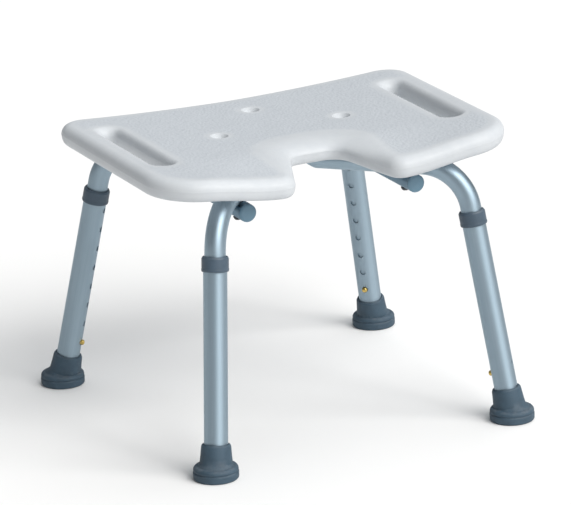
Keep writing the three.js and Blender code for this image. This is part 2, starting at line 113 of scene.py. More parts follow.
lightValues = {
    # angles in degrees; the width is how large the light looks from the stool
    "keyLeft": {"azimuth": 9, "elevation": 40, "width": 34, "strength": 1.6, "colour": (1.0, 0.985, 0.965)},
    "keyRight": {"azimuth": 39, "elevation": 40, "width": 34, "strength": 1.6, "colour": (1.0, 0.985, 0.965)},
    "overhead": {"azimuth": 120, "elevation": 68, "width": 60, "strength": 1.05, "colour": (0.98, 0.99, 1.0)},
}
roomValues = {
    "colour": (0.90, 0.96, 1.0),
    "strength": 0.2,
    "lightDistance": 3,
    "floorSize": 24,
    "floorColour": (0.92, 0.915, 0.91),
    "floorRoughness": 0.9,
    "floorShine": 0.1,
}


def setLights():
    for name, values in lightValues.items():
        data = bpy.data.lights.new(name, "SUN")
        data.angle = math.radians(values["width"])
        data.energy = values["strength"]
        data.color = values["colour"]
        away = headingTo(values["azimuth"], values["elevation"])
        light = bpy.data.objects.new(name, data)
        light.location = away * roomValues["lightDistance"]
        light.rotation_euler = away.to_track_quat("Z", "Y").to_euler()
        bpy.context.scene.collection.objects.link(light)
    world = bpy.data.worlds.new("studio")
    world.use_nodes = True
    background = world.node_tree.nodes["Background"]
    background.inputs["Color"].default_value = (*roomValues["colour"], 1)
    background.inputs["Strength"].default_value = roomValues["strength"]
    bpy.context.scene.world = world
    bpy.context.scene.view_settings.view_transform = "Standard"


def makeFloor():
    half = roomValues["floorSize"] / 2
    mesh = bpy.data.meshes.new("floor")
    corners = [(-half, -half, 0), (half, -half, 0), (half, half, 0), (-half, half, 0)]
    mesh.from_pydata(corners, [], [(0, 1, 2, 3)])
    floor = bpy.data.objects.new("floor", mesh)
    bpy.context.scene.collection.objects.link(floor)
    material = bpy.data.materials.new("palePaper")
    material.use_nodes = True
    surface = material.node_tree.nodes["Principled BSDF"]
    surface.inputs["Base Color"].default_value = (*roomValues["floorColour"], 1)
    surface.inputs["Roughness"].default_value = roomValues["floorRoughness"]
    surface.inputs["Specular IOR Level"].default_value = roomValues["floorShine"]
    mesh.materials.append(material)


# Shared material effects

def newGroup(name, inputs, outputs):
    group = bpy.data.node_groups.new(name, "ShaderNodeTree")
    for label, kind, value in inputs:
        socket = group.interface.new_socket(name=label, in_out="INPUT", socket_type=kind)
        if value is not None:
            socket.default_value = value
    for label, kind in outputs:
        group.interface.new_socket(name=label, in_out="OUTPUT", socket_type=kind)
    start = group.nodes.new("NodeGroupInput")
    end = group.nodes.new("NodeGroupOutput")
    return group, start.outputs, end.inputs


def fillSockets(tree, node, values):
    # a value is a number for the socket itself, or another node's output to join to it
    for name, value in values.items():
        if isinstance(value, bpy.types.NodeSocket):
            tree.links.new(value, node.inputs[name])
        else:
            node.inputs[name].default_value = value


def addNode(tree, kind, values=None, **settings):
    node = tree.nodes.new(kind)
    for name, value in settings.items():
        setattr(node, name, value)
    fillSockets(tree, node, values or {})
    return node


def mathNode(tree, operation, first, second=0.0):
    return addNode(tree, "ShaderNodeMath", {0: first, 1: second}, operation=operation).outputs[0]


def remap(tree, value, low, high, toLow=0.0, toHigh=1.0):
    values = {"Value": value, "From Min": low, "From Max": high, "To Min": toLow, "To Max": toHigh}
    return addNode(tree, "ShaderNodeMapRange", values, interpolation_type="SMOOTHSTEP").outputs["Result"]


def mixColour(tree, share, first, second):
    # a colour mix's sockets are told apart by their number only: its share, then its two colours
    return addNode(tree, "ShaderNodeMix", {0: share, 6: first, 7: second}, data_type="RGBA").outputs[2]


def objectPlace(tree):
    return addNode(tree, "ShaderNodeTexCoord").outputs["Object"]


def makeToneShift():
    # slow changes of shade over a surface
    group, given, out = newGroup("toneShift", [
        ("Colour", "NodeSocketColor", (0.5, 0.5, 0.5, 1)),
        ("Shifted Colour", "NodeSocketColor", (0.4, 0.4, 0.4, 1)),
        ("Scale", "NodeSocketFloat", 20.0),
        ("Amount", "NodeSocketFloat", 0.5),
    ], [("Colour", "NodeSocketColor"), ("Mask", "NodeSocketFloat")])
    place = objectPlace(group)
    cloud = addNode(group, "ShaderNodeTexNoise", {
        "Vector": place, "Scale": given["Scale"], "Detail": 4.0, "Roughness": 0.55})
    mask = remap(group, cloud.outputs["Fac"], 0.35, 0.68)
    share = mathNode(group, "MULTIPLY", mask, given["Amount"])
    group.links.new(mixColour(group, share, given["Colour"], given["Shifted Colour"]), out["Colour"])
    group.links.new(share, out["Mask"])
    return group


def makeMouldGrain():
    # the fine leather-like grain of a moulded surface
    group, given, out = newGroup("mouldGrain", [
        ("Scale", "NodeSocketFloat", 600.0),
        ("Mask", "NodeSocketFloat", 1.0),
    ], [("Height", "NodeSocketFloat"), ("Hollows", "NodeSocketFloat")])
    place = objectPlace(group)
    bend = addNode(group, "ShaderNodeTexNoise", {"Vector": place, "Scale": given["Scale"], "Detail": 2.0})
    bentBy = (0.0012, 0.0012, 0.0012)  # metres that the noise moves the pebbles' edges
    shift = {0: bend.outputs["Color"], 1: bentBy}
    shifted = addNode(group, "ShaderNodeVectorMath", shift, operation="MULTIPLY")
    moved = addNode(group, "ShaderNodeVectorMath", {0: place, 1: shifted.outputs[0]}, operation="ADD")
    cells = addNode(group, "ShaderNodeTexVoronoi", {
        "Vector": moved.outputs[0], "Scale": given["Scale"]}, feature="SMOOTH_F1")
    finer = mathNode(group, "MULTIPLY", given["Scale"], 2.3)
    speckle = addNode(group, "ShaderNodeTexNoise", {"Vector": place, "Scale": finer, "Detail": 3.0})
    pebbles = remap(group, cells.outputs["Distance"], 0.15, 0.75, 1.0, 0.0)
    coarsePart = mathNode(group, "MULTIPLY", pebbles, 0.7)
    finePart = mathNode(group, "MULTIPLY", speckle.outputs["Fac"], 0.3)
    mixed = mathNode(group, "ADD", coarsePart, finePart)
    group.links.new(mathNode(group, "MULTIPLY", mixed, given["Mask"]), out["Height"])
    hollows = mathNode(group, "SUBTRACT", 1.0, pebbles)
    group.links.new(mathNode(group, "MULTIPLY", hollows, given["Mask"]), out["Hollows"])
    return group


def makeEdgeWear():
    # a broken mask along outer edges, where hands and the floor rub
    group, given, out = newGroup("edgeWear", [
        ("Low", "NodeSocketFloat", 0.51),
        ("High", "NodeSocketFloat", 0.56),
        ("Break Up", "NodeSocketFloat", 300.0),
    ], [("Mask", "NodeSocketFloat")])
    bare = addNode(group, "ShaderNodeNewGeometry").outputs["Pointiness"]
    limits = {"Value": bare, "From Min": given["Low"], "From Max": given["High"]}
    edge = addNode(group, "ShaderNodeMapRange", limits).outputs["Result"]
    place = objectPlace(group)
    patches = addNode(group, "ShaderNodeTexNoise", {
        "Vector": place, "Scale": given["Break Up"], "Detail": 3.0})
    broken = remap(group, patches.outputs["Fac"], 0.40, 0.62)
    group.links.new(mathNode(group, "MULTIPLY", edge, broken), out["Mask"])
    return group


def makeDust():
    # a thin dull film that settles on faces turned up
    group, given, out = newGroup("dust", [
        ("Amount", "NodeSocketFloat", 0.2),
        ("Scale", "NodeSocketFloat", 60.0),
    ], [("Mask", "NodeSocketFloat")])
    normal = addNode(group, "ShaderNodeNewGeometry").outputs["Normal"]
    facing = addNode(group, "ShaderNodeSeparateXYZ", {"Vector": normal})
    upward = remap(group, facing.outputs["Z"], 0.2, 0.95)
    place = objectPlace(group)
    patches = addNode(group, "ShaderNodeTexNoise", {
        "Vector": place, "Scale": given["Scale"], "Detail": 5.0, "Roughness": 0.65})
    settled = mathNode(group, "MULTIPLY", upward, remap(group, patches.outputs["Fac"], 0.35, 0.7))
    group.links.new(mathNode(group, "MULTIPLY", settled, given["Amount"]), out["Mask"])
    return group


def makeDrawnLines():
    # fine lines that run the length of a drawn tube
    group, given, out = newGroup("drawnLines", [
        ("Across", "NodeSocketFloat", 1400.0),
        ("Along", "NodeSocketFloat", 12.0),
    ], [("Height", "NodeSocketFloat"), ("Streaks", "NodeSocketFloat")])
    run = addNode(group, "ShaderNodeUVMap", uv_map="tubeRun").outputs["UV"]
    parts = addNode(group, "ShaderNodeSeparateXYZ", {"Vector": run})
    stretched = addNode(group, "ShaderNodeCombineXYZ", {
        "X": mathNode(group, "MULTIPLY", parts.outputs["X"], given["Across"]),
        "Y": mathNode(group, "MULTIPLY", parts.outputs["Y"], given["Along"]),
    }).outputs[0]
    lines = addNode(group, "ShaderNodeTexNoise", {
        "Vector": stretched, "Scale": 1.0, "Detail": 5.0, "Roughness": 0.6})
    broad = addNode(group, "ShaderNodeTexNoise", {"Vector": stretched, "Scale": 0.12, "Detail": 2.0})
    group.links.new(lines.outputs["Fac"], out["Height"])
    group.links.new(remap(group, broad.outputs["Fac"], 0.35, 0.65), out["Streaks"])
    return group


# Materials, one for each finish

def newMaterial(name, **sockets):
    material = bpy.data.materials.new(name)
    material.use_nodes = True
    surface = material.node_tree.nodes["Principled BSDF"]
    for label, value in sockets.items():
        surface.inputs[label.replace("_", " ")].default_value = value
    return material, material.node_tree, surface


def placeGroup(tree, group, values=None):
    return addNode(tree, "ShaderNodeGroup", values, node_tree=group).outputs


def addBump(tree, surface, height, distance, strength=1.0):
    bump = addNode(tree, "ShaderNodeBump", {"Height": height, "Distance": distance, "Strength": strength})
    tree.links.new(bump.outputs["Normal"], surface.inputs["Normal"])


seatFinish = {
    "rim": (0.575, 0.60, 0.625, 1),
    "top": (0.52, 0.55, 0.585, 1),
    # painted shade: the hollows of the top's grain are coloured darker, as if shade lay in them
    "hollow": (0.44, 0.475, 0.515, 1),
    "rimRoughness": 0.5,
    "topRoughness": 0.62,
    "grainScale": 300.0,
    "grainDepth": 0.00038,
    "hollowShare": 0.35,
    "toneScale": 70.0,
    "toneAmount": 0.35,
    "dust": 0.15,
    "dustScale": 35.0,
}


def makeSeatPlastic(effects):
    values = seatFinish
    material, tree, surface = newMaterial("seatPlastic")
    onTop = addNode(tree, "ShaderNodeAttribute", attribute_name="topGrain").outputs["Fac"]
    grain = placeGroup(tree, effects["mouldGrain"], {"Scale": values["grainScale"], "Mask": onTop})
    mixed = mixColour(tree, onTop, values["rim"], values["top"])
    # painted shade in the grain's hollows, mixed into the seat's colour
    hollow = mathNode(tree, "MULTIPLY", grain["Hollows"], values["hollowShare"])
    tone = placeGroup(tree, effects["toneShift"], {
        "Colour": mixColour(tree, hollow, mixed, values["hollow"]),
        "Shifted Colour": values["top"],
        "Scale": values["toneScale"],
        "Amount": values["toneAmount"],
    })
    film = placeGroup(tree, effects["dust"], {"Amount": values["dust"], "Scale": values["dustScale"]})
    tree.links.new(tone["Colour"], surface.inputs["Base Color"])
    rough = remap(tree, onTop, 0.0, 1.0, values["rimRoughness"], values["topRoughness"])
    tree.links.new(mathNode(tree, "ADD", rough, film["Mask"]), surface.inputs["Roughness"])
    addBump(tree, surface, grain["Height"], values["grainDepth"])
    return material


tubeFinish = {
    "metal": (0.365, 0.46, 0.53, 1),
    "streak": (0.325, 0.42, 0.49, 1),
    "bare": (0.58, 0.62, 0.65, 1),
    "roughness": 0.52,
    "turn": 0.25,
    "polishedRound": 0.55,  # the highlight is drawn out along the tube
    "lineDepth": 0.00002,
    "streakShare": 0.4,
    "wearShare": 0.7,
}
# painted shade: the rails are the same anodised tube as the legs, given a darker copy of its colour for the
# shade they lie in under the seat
shadedRailFinish = dict(tubeFinish, metal=(0.165, 0.25, 0.32, 1), streak=(0.14, 0.215, 0.275, 1))


def makeAnodisedTube(effects, name, values):
    material, tree, surface = newMaterial(name, Metallic=1.0)
    lines = placeGroup(tree, effects["drawnLines"])
    wear = placeGroup(tree, effects["edgeWear"], {"Low": 0.53, "High": 0.62})
    streaks = mathNode(tree, "MULTIPLY", lines["Streaks"], values["streakShare"])
    streaked = mixColour(tree, streaks, values["metal"], values["streak"])
    rubbed = mathNode(tree, "MULTIPLY", wear["Mask"], values["wearShare"])
    worn = mixColour(tree, rubbed, streaked, values["bare"])
    tree.links.new(worn, surface.inputs["Base Color"])
    rough = remap(tree, lines["Height"], 0.3, 0.7, values["roughness"] - 0.04, values["roughness"] + 0.06)
    tree.links.new(rough, surface.inputs["Roughness"])
    addBump(tree, surface, lines["Height"], values["lineDepth"])
    around = addNode(tree, "ShaderNodeTangent", direction_type="UV_MAP", uv_map="tubeRun")
    tree.links.new(around.outputs["Tangent"], surface.inputs["Tangent"])
    surface.inputs["Anisotropic"].default_value = values["polishedRound"]
    surface.inputs["Anisotropic Rotation"].default_value = values["turn"]
    return material


def makeMouldedGrey(effects, name, values):
    material, tree, surface = newMaterial(name)
    grain = placeGroup(tree, effects["mouldGrain"], {"Scale": values["grainScale"], "Mask": 1.0})
    tone = placeGroup(tree, effects["toneShift"], {
        "Colour": values["colour"],
        "Shifted Colour": values["shade"],
        "Scale": values["toneScale"],
        "Amount": values["toneAmount"],
    })
    wear = placeGroup(tree, effects["edgeWear"], {"Low": 0.52, "High": 0.60})
    rubbed = mathNode(tree, "MULTIPLY", wear["Mask"], values["wearShare"])
    worn = mixColour(tree, rubbed, tone["Colour"], values["worn"])
    film = placeGroup(tree, effects["dust"], {"Amount": values["dust"], "Scale": values["dustScale"]})
    tree.links.new(mixColour(tree, film["Mask"], worn, values["dustColour"]), surface.inputs["Base Color"])
    roughest = values["roughness"] + values["hollowRoughness"]
    grained = remap(tree, grain["Hollows"], 0.0, 1.0, values["roughness"], roughest)
    tree.links.new(mathNode(tree, "ADD", grained, film["Mask"]), surface.inputs["Roughness"])
    addBump(tree, surface, grain["Height"], values["grainDepth"])
    return material


plasticFinish = {
    # the collars' own dark grey, set darker still as partly painted shade for the seat's shadow on them
    "colour": (0.062, 0.096, 0.134, 1),
    "shade": (0.046, 0.072, 0.100, 1),
    "toneScale": 45.0,
    "toneAmount": 0.6,
    "worn": (0.20, 0.25, 0.29, 1),
    "wearShare": 0.5,
    "dustColour": (0.35, 0.38, 0.40, 1),
    "dust": 0.15,
    "dustScale": 90.0,
    "roughness": 0.42,
    "hollowRoughness": 0.12,  # how much rougher the hollows of the grain are
    "grainScale": 1500.0,
    "grainDepth": 0.00006,
}
plugFinish = dict(plasticFinish, colour=(0.155, 0.27, 0.36, 1), shade=(0.13, 0.23, 0.305, 1))
rubberFinish = dict(
    plasticFinish, colour=(0.044, 0.082, 0.118, 1), shade=(0.032, 0.058, 0.084, 1), toneScale=60.0,
    worn=(0.10, 0.14, 0.17, 1), dustColour=(0.30, 0.31, 0.32, 1), dust=0.22, roughness=0.55,
    grainScale=1100.0, grainDepth=0.0001)
brassFinish = {
    "metal": (0.70, 0.50, 0.15, 1),
    "tarnish": (0.34, 0.25, 0.08, 1),
    "tarnishScale": 160.0,
    "tarnishAmount": 0.45,
    "tarnishRoughness": 0.3,
    "rubbed": (0.92, 0.76, 0.40, 1),
    "roughness": 0.24,
    "grainScale": 3200.0,
    "grainDepth": 0.00001,
}
screwFinish = dict(
    brassFinish, metal=(0.085, 0.09, 0.10, 1), tarnish=(0.06, 0.065, 0.07, 1),
    rubbed=(0.30, 0.31, 0.32, 1), roughness=0.42)
steelFinish = dict(
    brassFinish, metal=(0.46, 0.48, 0.50, 1), tarnish=(0.30, 0.31, 0.32, 1),
    rubbed=(0.66, 0.67, 0.68, 1), roughness=0.38)


def makeTurnedMetal(effects, name, values):
    material, tree, surface = newMaterial(name, Metallic=1.0)
    tone = placeGroup(tree, effects["toneShift"], {
        "Colour": values["metal"],
        "Shifted Colour": values["tarnish"],
        "Scale": values["tarnishScale"],
        "Amount": values["tarnishAmount"],
    })
    wear = placeGroup(tree, effects["edgeWear"], {"Low": 0.52, "High": 0.60, "Break Up": 900.0})
    worn = mixColour(tree, wear["Mask"], tone["Colour"], values["rubbed"])
    tree.links.new(worn, surface.inputs["Base Color"])
    tarnished = mathNode(tree, "MULTIPLY", tone["Mask"], values["tarnishRoughness"])
    tree.links.new(mathNode(tree, "ADD", tarnished, values["roughness"]), surface.inputs["Roughness"])
    grain = placeGroup(tree, effects["mouldGrain"], {"Scale": values["grainScale"], "Mask": 1.0})
    addBump(tree, surface, grain["Height"], values["grainDepth"])
    return material


# Mesh making

def makePiece(name, node, shape, material, sharpAngle=32, flat=None, masks=None):
    # shape is a list of points and a list of faces; flat gives each point its place round and along a tube
    points, faces = shape
    mesh = bpy.data.meshes.new(name)
    mesh.from_pydata([Vector(point) * mm for point in points], [], faces)
    if flat:
        layer = mesh.uv_layers.new(name="tubeRun")
        for loop in mesh.loops:
            layer.data[loop.index].uv = Vector(flat[loop.vertex_index]) * mm
    for label, values in (masks or {}).items():
        layer = mesh.attributes.new(label, "FLOAT", "POINT")
        layer.data.foreach_set("value", values)
    work = bmesh.new()
    work.from_mesh(mesh)
    bmesh.ops.remove_doubles(work, verts=work.verts, dist=0.004 * mm)
    bmesh.ops.recalc_face_normals(work, faces=work.faces)
    work.to_mesh(mesh)
    work.free()
    mesh.shade_smooth()
    mesh.set_sharp_from_angle(angle=math.radians(sharpAngle))
    mesh.materials.append(material)
    piece = bpy.data.objects.new(name, mesh)
    bpy.context.scene.collection.objects.link(piece)
    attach(piece, bodyOf[node])
    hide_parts(node)
    return piece


def roundCorners(corners, closed=True, step=10):
    # corners are (x, y, rounding); each becomes an arc with a point every few degrees
    line = []
    count = len(corners)
    for i, (x, y, radius) in enumerate(corners):
        corner = Vector((x, y))
        if radius == 0 or (not closed and i in (0, count - 1)):
            line.append(corner)
            continue
        back = (Vector(corners[i - 1][:2]) - corner).normalized()
        ahead = (Vector(corners[(i + 1) % count][:2]) - corner).normalized()
        half = back.angle(ahead) / 2
        centre = corner + (back + ahead).normalized() * (radius / math.sin(half))
        start = corner + back * (radius / math.tan(half)) - centre
        end = corner + ahead * (radius / math.tan(half)) - centre
        turn = math.atan2(start.x * end.y - start.y * end.x, start.dot(end))
        steps = max(2, math.ceil(abs(math.degrees(turn)) / step))
        for k in range(steps + 1):
            angle = turn * k / steps
            line.append(centre + Matrix.Rotation(angle, 2) @ start)
    return line


def joinRings(rings, closeFirst=True, closeLast=True, loop=False):
    # rings of points, all with the same count, become one skin; the ends are closed with a fan
    points = [point for ring in rings for point in ring]
    count = len(rings[0])
    faces = []
    pairs = [(i, i + 1) for i in range(len(rings) - 1)]
    if loop:
        pairs.append((len(rings) - 1, 0))
    for a, b in pairs:
        for i in range(count):
            j = (i + 1) % count
            faces.append((a * count + i, a * count + j, b * count + j, b * count + i))
    for close, ring in ((closeFirst, 0), (closeLast, len(rings) - 1)):
        if close and not loop:
            middle = sum((Vector(point) for point in rings[ring]), Vector((0, 0, 0))) / count
            points.append(middle)
            first = ring * count
            faces += [(first + i, first + (i + 1) % count, len(points) - 1) for i in range(count)]
    return points, faces


def ringAt(matrix, radius, height, segments, wave=None):
    ring = []
    for k in range(segments):
        angle = 2 * math.pi * k / segments
        r = radius + (wave(angle, height) if wave else 0)
        ring.append(matrix @ Vector((r * math.cos(angle), r * math.sin(angle), height)))
    return ring


def turned(matrix, profile, segments=48, loop=False, wave=None, step=15):
    # profile is (radius, height, rounding) from one end to the other, or closed on itself
    line = roundCorners(profile, closed=loop, step=step)
    rings = [ringAt(matrix, radius, height, segments, wave) for radius, height in line]
    return joinRings(rings, loop=loop)


def standingFrame(node):
    # the middle of a node's lower face, for a piece that stands upright, and the node's height
    low, high = nodeBox(node)
    return Matrix.Translation(((low.x + high.x) / 2, (low.y + high.y) / 2, low.z)), high.z - low.z


def fillBetween(loops, extra):
    # fills the flat area inside the first loop and outside the others, through the extra points
    points = [Vector(point[:2]) for loop in loops for point in loop] + [Vector(point[:2]) for point in extra]
    edges, owner, first = [], {}, 0
    for which, loop in enumerate(loops):
        count = len(loop)
        edges += [(first + i, first + (i + 1) % count) for i in range(count)]
        owner.update({first + i: which for i in range(count)})
        first += count
    _, _, triangles, origin, _, _ = delaunay_2d_cdt(points, edges, [], 1, 1e-6)
    source = [sources[0] for sources in origin]
    kept = []
    for triangle in triangles:
        corners = [source[i] for i in triangle]
        owners = {owner.get(i, -1) for i in corners}
        if len(owners) == 1 and owners.pop() > 0:
            continue  # inside a hole
        kept.append(corners)
    return kept


# Seat

seatValues = {
    "thickness": 24,
    "gap": 0.3,  # between the underside's pads and the tubes
    "widest": 11.5,  # height of the widest line above the underside
    "backCorner": 37,
    "frontCorner": 65,
    "backMiddle": 6,  # how much the back edge curves in
    "cutoutDepth": 94,
    "cutoutBackHalf": 31,
    "cutoutMouthHalf": 67,
    "cutoutBackCorner": 24,
    "hornCorner": 22,
    "rimRoll": 14,
    "cutoutRoll": 44,
    "undersideRoll": 7,
    "undersideLip": 1.6,  # how far the rim hangs below the underside
    "rollReach": 8,  # how far outside the cut-out's mouth the wider roll goes
    "partingHalf": 0.7,  # half the height of the parting ridge
    "rollSteps": 12,
    "undersideSteps": 8,
    "endRise": 8,
    "frontDroop": 9,
    "droopFrom": 80,  # how far in front of the middle the droop starts
    "droopHalf": 80,  # how far to each side it is whole
    "droopEnd": 0.78,  # where it has ended, as a share of the half width
    "slotInset": 44,
    "slotHalfLength": 88,
    "slotHalfWidth": 11,
    "slotMiddle": 2,
    "slotRoll": 10,
    "slotUndersideRoll": 5,
    "slotWidest": 0.55,  # height of a slot's narrowest line, as a share of the thickness
    "drainSpread": 82,
    "drainRear": 86,
    "drainThroat": 4.9,
    "drainRoll": 7.0,
    "drainDepth": 5.6,  # of the funnel round each drain hole
    "slotEndRoll": 12.5,  # round the back end of each hand slot
    "padRadius": 17,
    "pocketRadius": 4.9,
    "pocketDepth": 14.3,
    "ventRadius": 3,
    "ventDepth": 4,
    "partingRidge": 0.25,
    "spacing": 3.0,  # between the points along an edge
    "cell": 5.0,  # between the points of a flat area
    "grainStart": 2,  # how far in from an edge the grain starts
    "grainFull": 9,
}


def evenly(line, spacing):
    lengths = [0.0]
    for a, b in zip(line, line[1:] + line[:1]):
        lengths.append(lengths[-1] + (b - a).length)
    count = max(12, round(lengths[-1] / spacing))
    spaced, i = [], 0
    for k in range(count):
        want = lengths[-1] * k / count
        while lengths[i + 1] < want:
            i += 1
        share = (want - lengths[i]) / max(lengths[i + 1] - lengths[i], 1e-9)
        spaced.append(line[i].lerp(line[(i + 1) % len(line)], share))
    return spaced


def sideNormals(line):
    # unit vectors to the left of the direction of travel
    normals = []
    for i in range(len(line)):
        along = (line[(i + 1) % len(line)] - line[i - 1]).normalized()
        normals.append(Vector((-along.y, along.x)))
    return normals


def smooth(value, low, high):
    share = min(max((value - low) / (high - low), 0), 1)
    return share * share * (3 - 2 * share)


def seatPlaces():
    # the seat's extent, and the level of its underside over the crossing tubes
    low, high = nodeBox("seat")
    under = nodeBox("cross_tube_front_left")[1].z + seatValues["gap"]
    return {"half": high.x, "front": low.y, "back": high.y, "under": under}


def saddle(seat, x, y):
    v = seatValues
    end = x / seat["half"]
    forward = smooth(-y, v["droopFrom"], -seat["front"])
    central = 1 - smooth(abs(x), v["droopHalf"], v["droopEnd"] * seat["half"])
    return v["endRise"] * end * end - v["frontDroop"] * forward * central


def rollWidth(seat, x, y):
    # the rim's roll grows wider round the back of the cut-out
    v = seatValues
    if abs(x) > v["cutoutMouthHalf"] + v["rollReach"] or y > 0:
        return v["rimRoll"]
    inward = smooth((y - seat["front"]) / v["cutoutDepth"], 0.1, 1)
    return v["rimRoll"] + (v["cutoutRoll"] - v["rimRoll"]) * inward


def rollLevels(widths, underRoll, widest, ridge=0.0, lip=0.0):
    # (inset of each point, height) from the top's flat, over the edge, to the flat underneath
    v = seatValues
    levels = []
    for k in range(v["rollSteps"], 0, -1):
        angle = math.pi / 2 * k / v["rollSteps"]
        drop = 1 - math.cos(angle)
        height = widest + (v["thickness"] - widest) * math.sin(angle)
        levels.append(([width * drop for width in widths], height))
    levels += [(0, widest + v["partingHalf"]), (-ridge, widest), (0, widest - v["partingHalf"])]
    for k in range(1, v["undersideSteps"] + 1):
        angle = math.pi / 2 * k / v["undersideSteps"]
        drop = 1 - math.cos(angle)
        height = (widest - v["partingHalf"] + lip) * (1 - math.sin(angle)) - lip
        levels.append((underRoll * drop, height))
    if lip:
        levels += [(underRoll + 2, -lip), (underRoll + 5, -0.4 * lip), (underRoll + 8, 0)]
    return levels


def funnelLevels():
    # a rounded lip, a sloping wall, then the throat
    v = seatValues
    profile = [
        (v["drainRoll"], 0, 0), (v["drainRoll"] - 0.6, 0, 1.5), (0, -v["drainDepth"], 2.0),
        (0, 1.4 - v["thickness"], 0.8), (1.4, -v["thickness"], 0)]
    line = roundCorners(profile, closed=False, step=12)
    return [(inset, v["thickness"] + height) for inset, height in line]


def padLevels(flat):
    # a round pad under the seat, level with the tubes, and the pocket of its insert
    v = seatValues
    pad = v["padRadius"]
    return [
        (pad + 2.2, 0), (pad + 0.8, flat * 0.55), (pad, flat), (0.5, flat), (0, flat + 0.5),
        (0, flat + v["pocketDepth"])]


def holeCircle(x, y, radius, count):
    angles = [-2 * math.pi * k / count for k in range(count)]
    return [Vector((x + radius * math.cos(angle), y + radius * math.sin(angle))) for angle in angles]


def seatOutline(seat):
    v = seatValues
    half, front, back = seat["half"], seat["front"], seat["back"]
    right = [
        (v["cutoutBackHalf"], front + v["cutoutDepth"], v["cutoutBackCorner"]),
        (v["cutoutMouthHalf"], front, v["hornCorner"]),
        (half, front, v["frontCorner"]),
        (half, back, v["backCorner"]),
    ]
    left = [(-x, y, rounding) for x, y, rounding in reversed(right)]
    return evenly(roundCorners(right + [(0, back - v["backMiddle"], 500)] + left, step=3), v["spacing"])


def slotOutline(seat, side):
    v = seatValues
    x, w, l = side * (seat["half"] - v["slotInset"]), v["slotHalfWidth"], v["slotHalfLength"]
    near, far = v["slotMiddle"] - l, v["slotMiddle"] + l
    corners = [(x - w, near), (x - w, far), (x + w, far), (x + w, near)]
    return evenly(roundCorners([(*corner, w - 0.5) for corner in corners], step=6), v["spacing"] * 0.8)


def slotWidths(slot):
    # the roll is wider round the back end of a slot
    v = seatValues
    ends = [smooth(p.y - v["slotMiddle"] - v["slotHalfLength"], -10, 1) for p in slot]
    return [v["slotRoll"] + (v["slotEndRoll"] - v["slotRoll"]) * end for end in ends]


def addPoint(skin, x, y, height, grain=0.0):
    # a skin holds the points and faces of the seat as they are made, and the share of top grain at each point
    skin["points"].append((x, y, skin["seat"]["under"] + height + saddle(skin["seat"], x, y)))
    skin["grain"].append(grain)
    return len(skin["points"]) - 1


def addRings(skin, line, levels):
    # an inset is one number, or a list with a number for each point of the line
    normals = sideNormals(line)
    rings = []
    for inset, height in levels:
        insets = inset if isinstance(inset, list) else [inset] * len(line)
        moved = [p + n * reach for p, n, reach in zip(line, normals, insets)]
        rings.append([addPoint(skin, p.x, p.y, height) for p in moved])
    for a, b in zip(rings, rings[1:]):
        for i in range(len(line)):
            j = (i + 1) % len(line)
            skin["faces"].append((a[i], a[j], b[j], b[i]))
    return rings[0], rings[-1]


def addPocket(skin, x, y, radius, sides, levels):
    # a hole that ends inside the seat; the loop where it meets the underside is handed back
    first, last = addRings(skin, holeCircle(x, y, radius, sides), levels)
    middle = addPoint(skin, x, y, levels[-1][1])
    skin["faces"].extend((last[i], last[(i + 1) % len(last)], middle) for i in range(len(last)))
    return first


def addSheet(skin, loops, height, grain):
    # the flat area inside the first loop and outside the others
    v = seatValues
    seat, cell = skin["seat"], v["cell"]
    flatLoops = [[Vector(skin["points"][i][:2]) for i in loop] for loop in loops]
    tree = kdtree.KDTree(sum(len(loop) for loop in loops))
    normals = []
    for loop in flatLoops:
        for p, n in zip(loop, sideNormals(loop)):
            tree.insert((p.x, p.y, 0), len(normals))
            normals.append(n)
    tree.balance()
    extra, away = [], []
    for i in range(math.floor(-seat["half"] / cell), math.ceil(seat["half"] / cell) + 1):
        for j in range(math.floor(seat["front"] / cell), math.ceil(seat["back"] / cell) + 1):
            p = Vector(((i + 0.5 * (j % 2)) * cell, j * cell))
            near, index, _ = tree.find((p.x, p.y, 0))
            if (p - near.xy).dot(normals[index]) > 0.6 * cell:
                extra.append(p)
                away.append((p - near.xy).length)
    indices = [i for loop in loops for i in loop]
    for p, gone in zip(extra, away):
        share = grain * smooth(gone, v["grainStart"], v["grainFull"])
        indices.append(addPoint(skin, p.x, p.y, height, share))
    for triangle in fillBetween(flatLoops, extra):
        skin["faces"].append(tuple(indices[i] for i in triangle))


